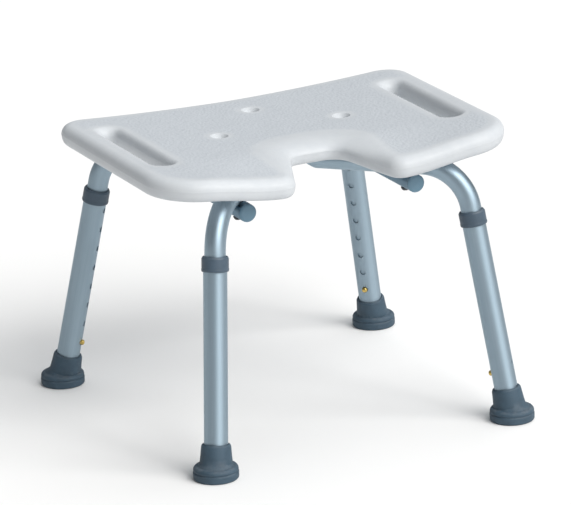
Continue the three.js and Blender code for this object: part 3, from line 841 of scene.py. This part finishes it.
def makeSeat(material):
    v = seatValues
    seat = seatPlaces()
    skin = {"seat": seat, "points": [], "faces": [], "grain": []}
    outline = seatOutline(seat)
    rimWidths = [rollWidth(seat, p.x, p.y) for p in outline]
    rim = rollLevels(rimWidths, v["undersideRoll"], v["widest"], v["partingRidge"], v["undersideLip"])
    edges = [(outline, rim)]
    for side in (-1, 1):
        slot = slotOutline(seat, side)
        widest = v["thickness"] * v["slotWidest"]
        edges.append((slot, rollLevels(slotWidths(slot), v["slotUndersideRoll"], widest)))
    for x, y in ((-v["drainSpread"], 0), (v["drainSpread"], 0), (0, v["drainRear"])):
        edges.append((holeCircle(x, y, v["drainThroat"], 40), funnelLevels()))
    topLoops, underLoops = [], []
    for line, levels in edges:
        first, last = addRings(skin, line, levels)
        topLoops.append(first)
        underLoops.append(last)
    railLow, railHigh = nodeBox("rail_right")
    screwLow, screwHigh = nodeBox("seat_screw_back_right")
    for sideX in (-1, 1):
        for sideY in (-1, 1):
            x, y = sideX * (railLow.x + railHigh.x) / 2, sideY * (screwLow.y + screwHigh.y) / 2
            pad = padLevels(-saddle(seat, x, y))
            underLoops.append(addPocket(skin, x, y, v["pocketRadius"], 48, pad))
    vent = [(0.5, 0), (0, 0.5), (0, v["ventDepth"])]
    underLoops.append(addPocket(skin, v["drainSpread"] / 2, v["drainRear"] / 2, v["ventRadius"], 24, vent))
    addSheet(skin, topLoops, v["thickness"], 1.0)
    addSheet(skin, underLoops, 0, 0.0)
    shape = (skin["points"], skin["faces"])
    makePiece("seatMoulding", "seat", shape, material, sharpAngle=50, masks={"topGrain": skin["grain"]})
    print("seat:", len(skin["points"]), "points")


# Tubes

skinValues = {
    "seam": 90,  # degrees round the tube where the sheets start and end
    "edge": 0.3,  # the bevel at the ends and round the holes
    "holeSides": 20,
    "ringSides": 18,
    "ringAway": 1.4,  # from a hole's edge to the ring of points round it
    "clearance": 2.2,  # from a hole's edge to the nearest other point
}


def tubeSkin(along, length, outer, wall, holes, rows, columns=48, section=None):
    # a closed tube from an outer and an inner sheet, which meet at both ends and round every hole
    # holes are (distance along, angle, radius); along gives the frame at a distance
    edge = skinValues["edge"]
    inner = outer - wall
    start = math.radians(skinValues["seam"])
    rows = sorted({edge, length - edge} | {row for row in rows if edge < row < length - edge})

    def place(angle, distance, radius):
        x, y = radius * math.cos(angle), radius * math.sin(angle)
        if section:
            x, y = section(angle, distance, radius)
        return along(distance) @ Vector((x, y, 0))

    def holeAngle(hole):
        return start + (math.radians(hole[1]) - start) % (2 * math.pi)

    def holeLoop(hole, radius, size, count=skinValues["holeSides"]):
        distance = hole[0]
        middle = holeAngle(hole)
        loop = []
        for k in range(count):
            turn = 2 * math.pi * k / count
            aside = math.asin(size * math.cos(turn) / radius)
            loop.append((middle + aside, distance + size * math.sin(turn)))
        return loop

    step = 2 * math.pi / columns
    across = [start + step * k for k in range(columns + 1)]
    border = [(a, rows[0]) for a in across] + [(across[-1], row) for row in rows[1:-1]]
    border += [(a, rows[-1]) for a in reversed(across)] + [(across[0], row) for row in reversed(rows[1:-1])]
    outerLoops = [border] + [holeLoop(hole, outer, hole[2] + edge) for hole in holes]
    innerLoops = [border] + [holeLoop(hole, inner, hole[2]) for hole in holes]
    extra = []
    for hole in holes:
        extra += holeLoop(hole, outer, hole[2] + skinValues["ringAway"], skinValues["ringSides"])

    def isClear(a, row, hole):
        turn = abs(a - holeAngle(hole))
        if turn > math.pi / 2:
            return True
        return math.hypot(outer * math.sin(turn), row - hole[0]) > hole[2] + skinValues["clearance"]

    for row in rows[1:-1]:
        extra += [(a, row) for a in across[1:-1] if all(isClear(a, row, hole) for hole in holes)]
    sheet = [[(a * outer, d) for a, d in loop] for loop in outerLoops]
    triangles = fillBetween(sheet, [(a * outer, d) for a, d in extra])

    points, flat, faces = [], [], []

    def addAll(spots, radius):
        first = len(points)
        points.extend(place(a, d, radius) for a, d in spots)
        flat.extend((a * outer, d) for a, d in spots)
        return list(range(first, len(points)))

    def bridge(a, b, closed=True):
        for i in range(len(a) if closed else len(a) - 1):
            j = (i + 1) % len(a)
            faces.append((a[i], a[j], b[j], b[i]))

    outerIndex = [addAll(loop, outer) for loop in outerLoops]
    outerAll = [i for loop in outerIndex for i in loop] + addAll(extra, outer)
    innerIndex = [addAll(loop, inner) for loop in innerLoops]
    innerAll = [i for loop in innerIndex for i in loop] + addAll(extra, inner)
    for triangle in triangles:
        faces.append(tuple(outerAll[i] for i in triangle))
        faces.append(tuple(innerAll[i] for i in reversed(triangle)))
    for hole, fromLoop, toLoop in zip(holes, outerIndex[1:], innerIndex[1:]):
        throat = addAll(holeLoop(hole, outer - edge, hole[2]), outer - edge)
        bridge(fromLoop, throat)
        bridge(throat, toLoop)
    for distance, row in ((0, rows[0]), (length, rows[-1])):
        spots = [(a, row) for a in across]
        ends = [(a, distance) for a in across]
        chain = [addAll(spots, outer), addAll(ends, outer - edge)]
        chain += [addAll(ends, inner + edge), addAll(spots, inner)]
        for a, b in zip(chain, chain[1:]):
            bridge(a, b, closed=False)
    return (points, faces), flat


def spread(low, high, step):
    count = max(1, round((high - low) / step))
    return [low + (high - low) * k / count for k in range(count + 1)]


def columnsOf(x, y, z, origin):
    return Matrix.Translation(origin) @ Matrix((x, y, z)).transposed().to_4x4()


def legFrame(place):
    # +Z up the leg from the floor, +X towards the middle of the stool
    up = -axisOf["leg_slide_" + place]
    inward = -axisOf["button_press_" + place]
    low, high = nodeBox("foot_washer_" + place)
    washer = (low + high) / 2
    foot = washer - up * (washer.z / up.z)
    return columnsOf(inward, up.cross(inward), up, foot)


def distanceUp(place, node):
    # how far up its leg the middle of a node lies
    low, high = nodeBox(node)
    return (legFrame(place).inverted() @ ((low + high) / 2)).z


crossTubeValues = {
    "radius": 12.7,
    "wall": 1.4,
    "bend": 60,
    "lowEnd": 38,  # up the leg from the floor
    "pressedHeight": 9.8,
    "pressedHalf": 20,
    "runOut": 26,
    "gap": 0.3,
    "screwHole": 2.8,
    "rivetHole": 4.3,
    "buttonHole": 3.5,
    "straightStep": 12,  # between rows of points on the legs
    "bendStep": 2.6,
    "levelStep": 9,
    "pressedStep": 3,
    "lowerTube": "front_left",  # the one that lies underneath where they cross
}
crossTubePairs = {"front_left": "back_right", "front_right": "back_left"}


def kneeOf(place, level):
    # the bend at the top of one inner leg
    v = crossTubeValues
    matrix = legFrame(place)
    up, foot = matrix.col[2].to_3d(), matrix.translation
    knee = foot + up * (level / up.z)
    inward = Vector((-knee.x, -knee.y, 0)).normalized()
    angle = up.angle(inward)
    start = (level / up.z) - v["bend"] * math.tan(angle / 2)
    toCentre = (inward - up * up.dot(inward)).normalized()
    return {
        "foot": foot, "up": up, "start": start, "toCentre": toCentre,
        "straight": start - v["lowEnd"], "arc": angle * v["bend"]}


def kneeFrame(knee, distance):
    # point, direction and side towards the bend's centre, at a distance from the tube's low end
    v = crossTubeValues
    up, toCentre = knee["up"], knee["toCentre"]
    if distance <= knee["straight"]:
        return knee["foot"] + up * (v["lowEnd"] + distance), up, toCentre
    turn = (distance - knee["straight"]) / v["bend"]
    centre = knee["foot"] + up * knee["start"] + toCentre * v["bend"]
    point = centre - toCentre * (v["bend"] * math.cos(turn)) + up * (v["bend"] * math.sin(turn))
    direction = up * math.cos(turn) + toCentre * math.sin(turn)
    return point, direction, toCentre * math.cos(turn) - up * math.sin(turn)


def pressedSection(share, half, flat):
    # round a flattened tube from the middle of its lower side: down, then across
    whole = 4 * flat + 2 * math.pi * half
    run = (share % 1) * whole
    if run <= flat:
        return half, run
    if run <= flat + math.pi * half:
        turn = (run - flat) / half
        return half * math.cos(turn), flat + half * math.sin(turn)
    if run <= 3 * flat + math.pi * half:
        return -half, 2 * flat + math.pi * half - run
    if run <= 3 * flat + 2 * math.pi * half:
        turn = (run - 3 * flat - math.pi * half) / half
        return -half * math.cos(turn), -flat - half * math.sin(turn)
    return half, run - whole


def makeCrossTube(place, material):
    v = crossTubeValues
    node = "cross_tube_" + place
    other = crossTubePairs[place]
    level = nodeBox(node)[1].z - v["radius"]
    if place != v["lowerTube"]:
        level = nodeBox("cross_tube_" + v["lowerTube"])[1].z - v["radius"]
    near, far = kneeOf(place, level), kneeOf(other, level)
    nearEnd, farEnd = near["straight"] + near["arc"], far["straight"] + far["arc"]
    nearTop, farTop = kneeFrame(near, nearEnd)[0], kneeFrame(far, farEnd)[0]
    middleRun = (farTop - nearTop).length
    heading = (farTop - nearTop).normalized()
    length = nearEnd + middleRun + farEnd
    middle = nearEnd + nearTop.xy.length

    def along(distance):
        if distance < nearEnd:
            point, direction, side = kneeFrame(near, distance)
        elif distance <= nearEnd + middleRun:
            point, direction, side = nearTop + heading * (distance - nearEnd), heading, Vector((0, 0, -1))
        else:
            point, direction, side = kneeFrame(far, length - distance)
            direction = -direction
        return columnsOf(side, direction.cross(side), direction, point)

    shift = v["pressedHeight"] / 2 + v["gap"]
    if place != v["lowerTube"]:
        shift = -shift

    def section(angle, distance, radius):
        press = 1 - smooth(abs(distance - middle), v["pressedHalf"], v["pressedHalf"] + v["runOut"])
        x, y = radius * math.cos(angle), radius * math.sin(angle)
        if press == 0:
            return x, y
        half = v["pressedHeight"] / 2
        flat = math.pi * (v["radius"] - half) / 2
        flatX, flatY = pressedSection(angle / (2 * math.pi), half - (v["radius"] - radius), flat)
        return x + (flatX + shift - x) * press, y + (flatY - y) * press

    rail = nodeBox("rail_right")
    screw = nodeBox("seat_screw_back_right")
    reach = math.hypot((rail[0].x + rail[1].x) / 2, (screw[0].y + screw[1].y) / 2)
    holes = [(middle + side * reach, angle, v["screwHole"]) for side in (-1, 1) for angle in (0, 180)]
    holes += [(middle, angle, v["rivetHole"]) for angle in (0, 180)]
    button = distanceUp(place, "snap_button_" + place) - v["lowEnd"]
    farButton = distanceUp(other, "snap_button_" + other) - v["lowEnd"]
    holes += [(button, 0, v["buttonHole"]), (length - farButton, 0, v["buttonHole"])]
    flatEnd = v["pressedHalf"] + v["runOut"] + 2
    stretches = [
        (0, near["straight"], v["straightStep"]),
        (near["straight"], nearEnd, v["bendStep"]),
        (nearEnd, middle - flatEnd, v["levelStep"]),
        (middle - flatEnd, middle + flatEnd, v["pressedStep"]),
        (middle + flatEnd, length - farEnd, v["levelStep"]),
        (length - farEnd, length - far["straight"], v["bendStep"]),
        (length - far["straight"], length, v["straightStep"]),
    ]
    rows = [row for stretch in stretches for row in spread(*stretch)]
    shape, flat = tubeSkin(along, length, v["radius"], v["wall"], holes, rows, section=section)
    makePiece("crossTube_" + place, node, shape, material, flat=flat)


railValues = {
    "radius": 11.1,
    "wall": 1.4,
    "nestReach": 18,  # how far along the rail a nest goes, to each side of its screw
    "nestStep": 1.5,  # between rows of points
    "endStep": 6,
    "middleStep": 14,
}


def makeRail(side, material):
    v = railValues
    low, high = nodeBox("rail_" + side)
    middle = Vector(((low.x + high.x) / 2, 0, low.z + v["radius"]))
    length = high.y - low.y
    screwLow, screwHigh = nodeBox("seat_screw_back_" + side)
    crossing = (screwLow.y + screwHigh.y) / 2
    tubeLevel = nodeBox("cross_tube_front_left")[1].z - crossTubeValues["radius"]
    nest = crossTubeValues["radius"] + crossTubeValues["gap"]
    down, forward = Vector((0, 0, -1)), Vector((0, 1, 0))

    def along(distance):
        origin = Vector((middle.x, low.y + distance, middle.z))
        return columnsOf(down, forward.cross(down), forward, origin)

    def section(angle, distance, radius):
        # the top is pressed down into a nest where each crossing tube lies on it
        x, y = radius * math.cos(angle), radius * math.sin(angle)
        topX, topY = v["radius"] * math.cos(angle), v["radius"] * math.sin(angle)
        spot = along(distance) @ Vector((topX, topY, 0))
        for sideY in (-1, 1):
            centre = Vector((middle.x, sideY * crossing))
            across = Vector((-centre.y, centre.x)).normalized()
            off = abs((spot.xy - centre).dot(across))
            if off < nest and spot.z > middle.z:
                underside = tubeLevel - math.sqrt(nest ** 2 - off ** 2)
                x += max(0, spot.z - underside)
        return x, y

    near, far = length / 2 - crossing, length / 2 + crossing
    reach = v["nestReach"]
    hole = crossTubeValues["screwHole"]
    holes = [(distance, angle, hole) for distance in (near, far) for angle in (0, 180)]
    stretches = [
        (0, near - reach, v["endStep"]),
        (near - reach, near + reach, v["nestStep"]),
        (near + reach, far - reach, v["middleStep"]),
        (far - reach, far + reach, v["nestStep"]),
        (far + reach, length, v["endStep"]),
    ]
    rows = [row for stretch in stretches for row in spread(*stretch)]
    shape, flat = tubeSkin(along, length, v["radius"], v["wall"], holes, rows, section=section)
    makePiece("rail_" + side + "_tube", "rail_" + side, shape, material, flat=flat)


plugValues = {
    "cap": 2.5,
    "stem": 14,
    "stemRadius": 9.2,
    "wall": 2.2,
    "rib": 0.2,  # how far the grip ribs stand out of the stem
    "grooveOut": 2.3,  # from the cap's side in to the ring groove in its face
    "grooveDepth": 0.5,
}


def makeRailPlug(end, side, material):
    v = plugValues
    name = end + "_" + side
    low, high = nodeBox("rail_plug_" + name)
    sign = -1 if end == "front" else 1
    outer = (high.x - low.x) / 2
    face = low.y if end == "front" else high.y
    origin = Vector(((low.x + high.x) / 2, face, (low.z + high.z) / 2))
    matrix = columnsOf(Vector((1, 0, 0)), Vector((0, 0, sign)), Vector((0, -sign, 0)), origin)
    cap, stem, groove = v["cap"], v["stemRadius"], outer - v["grooveOut"]
    bore, deep = stem - v["wall"], cap + v["stem"]
    profile = [
        (0, 0, 0), (groove, 0, 0.2), (groove + 0.4, v["grooveDepth"], 0.15),
        (groove + 0.8, v["grooveDepth"], 0.15), (groove + 1.1, 0.25, 0.15), (outer - 0.1, 1.3, 0.7),
        (outer, cap - 0.7, 0.2), (outer - 0.9, cap, 0.1), (stem, cap, 0.3), (stem + v["rib"], cap + 4, 1),
        (stem, cap + 5.5, 1), (stem + v["rib"], cap + 8, 1), (stem - 0.4, deep - 2, 1),
        (stem - 1.6, deep, 0.4), (bore, deep, 0.3), (bore - 0.3, cap + 1, 0.8), (0, cap + 1, 0)]
    makePiece("railPlug_" + name, "rail_plug_" + name, turned(matrix, profile, 48), material)


# Legs

legTubeValues = {
    "radius": 14.3, "wall": 1.3, "low": 14.5, "top": 261.1,
    "holes": 8, "pitch": 25.4, "holeRadius": 3.7,
    "peepRadius": 2.0, "peepRise": 11,
    "peepPlace": "front_right",  # the one leg tube with a small hole in its outer side
}


def makeLegTube(place, material):
    v = legTubeValues
    matrix = legFrame(place)
    lowest = distanceUp(place, "snap_button_" + place)
    holes = [(lowest - v["low"] + v["pitch"] * k, 0, v["holeRadius"]) for k in range(v["holes"])]
    if place == v["peepPlace"]:
        holes.append((lowest + v["peepRise"] - v["low"], 180, v["peepRadius"]))
    length = v["top"] - v["low"]
    rows = spread(0, length, v["pitch"] / 4)

    def along(distance):
        return matrix @ Matrix.Translation((0, 0, v["low"] + distance))

    shape, flat = tubeSkin(along, length, v["radius"], v["wall"], holes, rows, columns=56)
    makePiece("legTube_" + place, "leg_tube_" + place, shape, material, flat=flat)


collarValues = {
    "top": 264, "length": 17.9, "radius": 16.5, "lip": 2.6, "bore": 13.0, "sleeve": 14.6, "chamfer": 1.6,
    "band": 3.2,  # height of the thicker band round its low end
    "bandStep": 0.25,
}


def makeCollar(place, material):
    v = collarValues
    low = v["top"] - v["length"]
    radius, top, bore, sleeve = v["radius"], v["top"], v["bore"], v["sleeve"]
    waist = radius - v["bandStep"]
    bandTop = low + v["band"]
    profile = [
        (sleeve, low, 0.3), (radius - 0.5, low, 0.5), (radius, low + 1.2, 0.8), (radius, bandTop, 0.3),
        (waist, bandTop + 0.3, 0.2), (waist, top - v["chamfer"] - 0.9, 0.5),
        (radius - v["chamfer"], top, 0.7),
        (bore + 0.3, top, 0.3), (bore, top - 0.5, 0.2),
        (bore, top - v["lip"], 0.2), (sleeve, top - v["lip"], 0.2)]
    shape = turned(legFrame(place), profile, 64, loop=True)
    makePiece("legCollar_" + place, "leg_collar_" + place, shape, material)


footValues = {
    "radius": 27.4, "recess": 13, "recessDepth": 2, "flange": 14.9, "neckLow": 20.0, "neckTop": 17.6,
    "height": 40.6, "socket": 14.6, "socketLow": 12.3, "segments": 72,
    "treadGrooves": (16.4, 19.4, 22.4),  # radii of the rings cut into the sole
    "treadDepth": 0.9,
    "sideGroove": 10.0,  # height of the groove round the base
    "sideGrooveDepth": 1.3,
}


def footBase():
    v = footValues
    outer, recess, groove = v["radius"], v["recess"], v["sideGroove"]
    grooveFloor = outer - v["sideGrooveDepth"]
    base = [(0, v["recessDepth"], 0), (recess - 0.6, v["recessDepth"], 0.5), (recess, 0, 0.4)]
    for tread in v["treadGrooves"]:
        base += [(tread - 0.7, 0, 0.3), (tread - 0.3, v["treadDepth"], 0.2)]
        base += [(tread + 0.3, v["treadDepth"], 0.2), (tread + 0.7, 0, 0.3)]
    return base + [
        (outer - 1.6, 0, 0.7), (outer - 0.1, 1.6, 1.2), (outer, groove - 1.8, 1.0),
        (outer - 0.7, groove - 0.8, 0.6), (grooveFloor, groove - 0.3, 0.4), (grooveFloor, groove + 0.3, 0.4),
        (outer - 0.4, groove + 0.9, 0.7), (outer - 0.6, groove + 5.9, 4.4),
        (v["neckLow"] + 1.6, v["flange"] + 1.2, 0)]


def footNeck():
    v = footValues
    low, top, socket, height = v["neckLow"], v["neckTop"], v["socket"], v["height"]
    return [
        (low - 0.1, v["flange"] + 2.7, 1.0), (low - 0.9, v["flange"] + 9, 3), (top + 0.25, height - 2.4, 1.5),
        (top - 1.0, height, 0.8), (socket + 0.7, height, 0.5), (socket, height - 0.9, 0.4),
        (socket, v["socketLow"], 0.3), (0, v["socketLow"], 0)]


def makeFoot(place, material):
    # the base stands square on the floor, and the neck leans with the leg
    leg = legFrame(place)
    side = leg.to_3x3().col[0]
    # the neck's rings start from the same side as the base's
    square = leg @ Matrix.Rotation(-math.atan2(side.y, side.x), 4, "Z")
    rings = []
    for matrix, profile in ((Matrix.Translation(leg.translation), footBase()), (square, footNeck())):
        for radius, height in roundCorners(profile, closed=False, step=18):
            rings.append(ringAt(matrix, radius, height, footValues["segments"]))
    makePiece("rubberFoot_" + place, "leg_foot_" + place, joinRings(rings), material)


footWasherValues = {"radius": 14.0, "thickness": 1.6}


def makeFootWasher(place, material):
    v = footWasherValues
    node = "foot_washer_" + place
    middle = distanceUp(place, node)
    low, high = middle - v["thickness"] / 2, middle + v["thickness"] / 2
    profile = [(0, low, 0), (v["radius"], low, 0.3), (v["radius"], high, 0.5), (0, high, 0)]
    makePiece("footWasher_" + place, node, turned(legFrame(place), profile, 48), material)


buttonValues = {"radius": 3.45, "flange": 4.6, "flangeThick": 1.0, "seat": 8.4, "reach": 3.9}


def makeButton(place, material):
    v = buttonValues
    hole = Matrix.Translation((0, 0, distanceUp(place, "snap_button_" + place)))
    matrix = legFrame(place) @ hole @ Matrix.Rotation(math.pi / 2, 4, "Y")
    seat, flangeTop, tip = v["seat"], v["seat"] + v["flangeThick"], legTubeValues["radius"] + v["reach"]
    profile = [
        (0, seat, 0), (v["flange"], seat, 0.2), (v["flange"], flangeTop, 0.3), (v["radius"], flangeTop, 0.2),
        (v["radius"], tip - 0.1, 2.7), (0, tip, 0)]
    makePiece("snapButton_" + place, "snap_button_" + place, turned(matrix, profile, 32, step=9), material)


springValues = {"thickness": 0.8, "width": 8, "length": 44, "bend": 2.4, "rest": 9, "gap": 0.3, "nick": 0.15}


def makeSpring(place, material):
    v = springValues
    lowest = distanceUp(place, "snap_button_" + place)
    matrix = legFrame(place)
    face, top = buttonValues["seat"] - v["gap"] - v["thickness"] / 2, lowest + v["length"]
    bend, rest = v["bend"], v["rest"]
    corners = [
        (face, lowest - 6.5, 0), (face, lowest + 6, 8), (bend, top - 3, 6), (bend, top + bend, bend - 0.1),
        (-bend, top + bend, bend - 0.1), (-bend, top - 3, 6), (-rest, lowest - 4, 2.5),
        (1 - rest, lowest - 8, 0)]
    line = roundCorners(corners, closed=False, step=9)
    half, thick, nick = v["width"] / 2, v["thickness"] / 2, v["nick"]
    outline = [
        (half - nick, -thick), (half, nick - thick), (half, thick - nick), (half - nick, thick),
        (nick - half, thick), (-half, thick - nick), (-half, nick - thick), (nick - half, -thick)]
    rings = []
    for i, p in enumerate(line):
        direction = (line[min(i + 1, len(line) - 1)] - line[max(i - 1, 0)]).normalized()
        side = Vector((-direction.y, direction.x))
        rings.append([matrix @ Vector((p.x + side.x * t, w, p.y + side.y * t)) for w, t in outline])
    makePiece("buttonSpring_" + place, "button_spring_" + place, joinRings(rings), material)


# Fasteners

screwValues = {
    "radius": 2.5, "root": 2.05, "pitch": 0.8, "plain": 8, "runOut": 1.5,
    "headRadius": 4.6, "headHeight": 2.6, "socket": 1.5, "socketDepth": 1.5, "segments": 36,
}


def sixSided(matrix, radius, height, segments):
    # a ring with six flats; the radius is to the middle of a flat
    ring = []
    for k in range(segments):
        angle = 2 * math.pi * k / segments
        reach = radius / math.cos((angle % (math.pi / 3)) - math.pi / 6)
        ring.append(matrix @ Vector((reach * math.cos(angle), reach * math.sin(angle), height)))
    return ring


def makeScrew(place, material):
    v = screwValues
    node = "seat_screw_" + place
    matrix, top = standingFrame(node)
    segments, socket, headRadius, headHeight = v["segments"], v["socket"], v["headRadius"], v["headHeight"]
    threadLow, threadTop = headHeight + v["plain"], top - 1.2
    depth = v["radius"] - v["root"]

    def thread(angle, height):
        turn = (height / v["pitch"] - angle / (2 * math.pi)) % 1
        start = smooth(height, threadLow, threadLow + v["runOut"])
        end = 1 - smooth(height, threadTop - v["runOut"], threadTop)
        return -depth * abs(2 * turn - 1) * start * end

    # from the floor of the driver socket, over the head and up the shank
    rings = [sixSided(matrix, socket * 0.9, height, segments) for height in (v["socketDepth"], 0.25)]
    rings.append(sixSided(matrix, socket, 0, segments))
    head = [
        (headRadius - 1.5, 0, 0.8), (headRadius, 1.4, 0.9), (headRadius, headHeight, 0.2),
        (v["radius"], headHeight, 0.3), (v["radius"], threadLow, 0)]
    for radius, height in roundCorners(head, closed=False, step=15):
        rings.append(ringAt(matrix, radius, height, segments))
    for height in spread(threadLow + 0.1, threadTop, v["pitch"] / 6):
        rings.append(ringAt(matrix, v["radius"], height, segments, thread))
    rings.append(ringAt(matrix, v["root"] - 0.4, top, segments))
    makePiece("seatScrew_" + place, node, joinRings(rings), material)


screwWasherValues = {"radius": 5.4, "bore": 2.8, "rounding": 0.3}


def makeScrewWasher(place, material):
    v = screwWasherValues
    node = "screw_washer_" + place
    matrix, height = standingFrame(node)
    corners = [(v["bore"], 0), (v["radius"], 0), (v["radius"], height), (v["bore"], height)]
    profile = [(*corner, v["rounding"]) for corner in corners]
    makePiece("screwWasher_" + place, node, turned(matrix, profile, 48, loop=True), material)


insertValues = {
    "radius": 4.6, "bore": 2.8, "waist": 2.2, "waistDepth": 0.8,
    "knurls": 24, "knurlDepth": 0.25, "knurlEnd": 1.4, "segments": 96,
}


def makeInsert(place, material):
    v = insertValues
    node = "seat_insert_" + place
    matrix, height = standingFrame(node)
    radius, bore, end = v["radius"], v["bore"], v["knurlEnd"]
    waistLow, waistHigh = height / 2 - v["waist"] / 2, height / 2 + v["waist"] / 2
    waist = radius - v["waistDepth"]

    def knurl(angle, z):
        band = smooth(z, end, end + 0.4) * (1 - smooth(z, height - end - 0.4, height - end))
        return -v["knurlDepth"] * (1 - abs(math.cos(angle * v["knurls"] / 2))) * band

    profile = [
        (bore + 0.4, 0), (radius - 0.4, 0), (radius, 1.0), (radius, end), (radius, end + 0.6),
        (radius, waistLow), (waist, waistLow + 0.3), (waist, waistHigh - 0.3),
        (radius, waistHigh), (radius, height - end - 0.6), (radius, height - end), (radius - 0.5, height),
        (bore + 0.4, height), (bore, height - 0.4), (bore, 0.4)]
    rings = []
    for reach, z in profile:
        wave = knurl if reach > bore + 1 else None
        rings.append(ringAt(matrix, reach, z, v["segments"], wave))
    makePiece("seatInsert_" + place, node, joinRings(rings, loop=True), material)


rivetValues = {"radius": 4, "headRadius": 8, "headHeight": 1.6}


def makeRivet(material):
    v = rivetValues
    matrix, top = standingFrame("crossing_rivet")
    radius, headRadius, head = v["radius"], v["headRadius"], v["headHeight"]
    upperHead = top - head
    profile = [
        (0, 0, 0), (headRadius - 2.6, 0.1, 1.5), (headRadius, head - 0.3, 0.4),
        (headRadius - 0.2, head, 0.15), (radius, head, 0.2), (radius, upperHead, 0.2),
        (headRadius - 0.2, upperHead, 0.15), (headRadius, upperHead + 0.3, 0.4),
        (headRadius - 2.6, top - 0.1, 1.5), (0, top, 0)]
    makePiece("crossingRivet", "crossing_rivet", turned(matrix, profile, 40), material)


# Everything together

setCamera()
setLights()
makeFloor()
effects = {
    "toneShift": makeToneShift(), "mouldGrain": makeMouldGrain(), "edgeWear": makeEdgeWear(),
    "dust": makeDust(), "drawnLines": makeDrawnLines(),
}
seatPlastic = makeSeatPlastic(effects)
anodisedTube = makeAnodisedTube(effects, "anodisedTube", tubeFinish)
shadedRailMetal = makeAnodisedTube(effects, "shadedRailMetal", shadedRailFinish)
greyPlastic = makeMouldedGrey(effects, "greyPlastic", plasticFinish)
plugPlastic = makeMouldedGrey(effects, "plugPlastic", plugFinish)
rubber = makeMouldedGrey(effects, "slateRubber", rubberFinish)
brass = makeTurnedMetal(effects, "turnedBrass", brassFinish)
steel = makeTurnedMetal(effects, "platedSteel", steelFinish)
blackened = makeTurnedMetal(effects, "blackenedSteel", screwFinish)
print("materials made")

makeSeat(seatPlastic)
for place in crossTubePairs:
    makeCrossTube(place, anodisedTube)
makeRivet(steel)
for side in ("left", "right"):
    makeRail(side, shadedRailMetal)
    for end in ("front", "back"):
        makeRailPlug(end, side, plugPlastic)
print("frame made")
for place in places:
    makeLegTube(place, anodisedTube)
    makeCollar(place, greyPlastic)
    makeFoot(place, rubber)
    makeFootWasher(place, steel)
    makeButton(place, brass)
    makeSpring(place, steel)
    makeScrew(place, blackened)
    makeScrewWasher(place, blackened)
    makeInsert(place, brass)
print("legs and fasteners made")
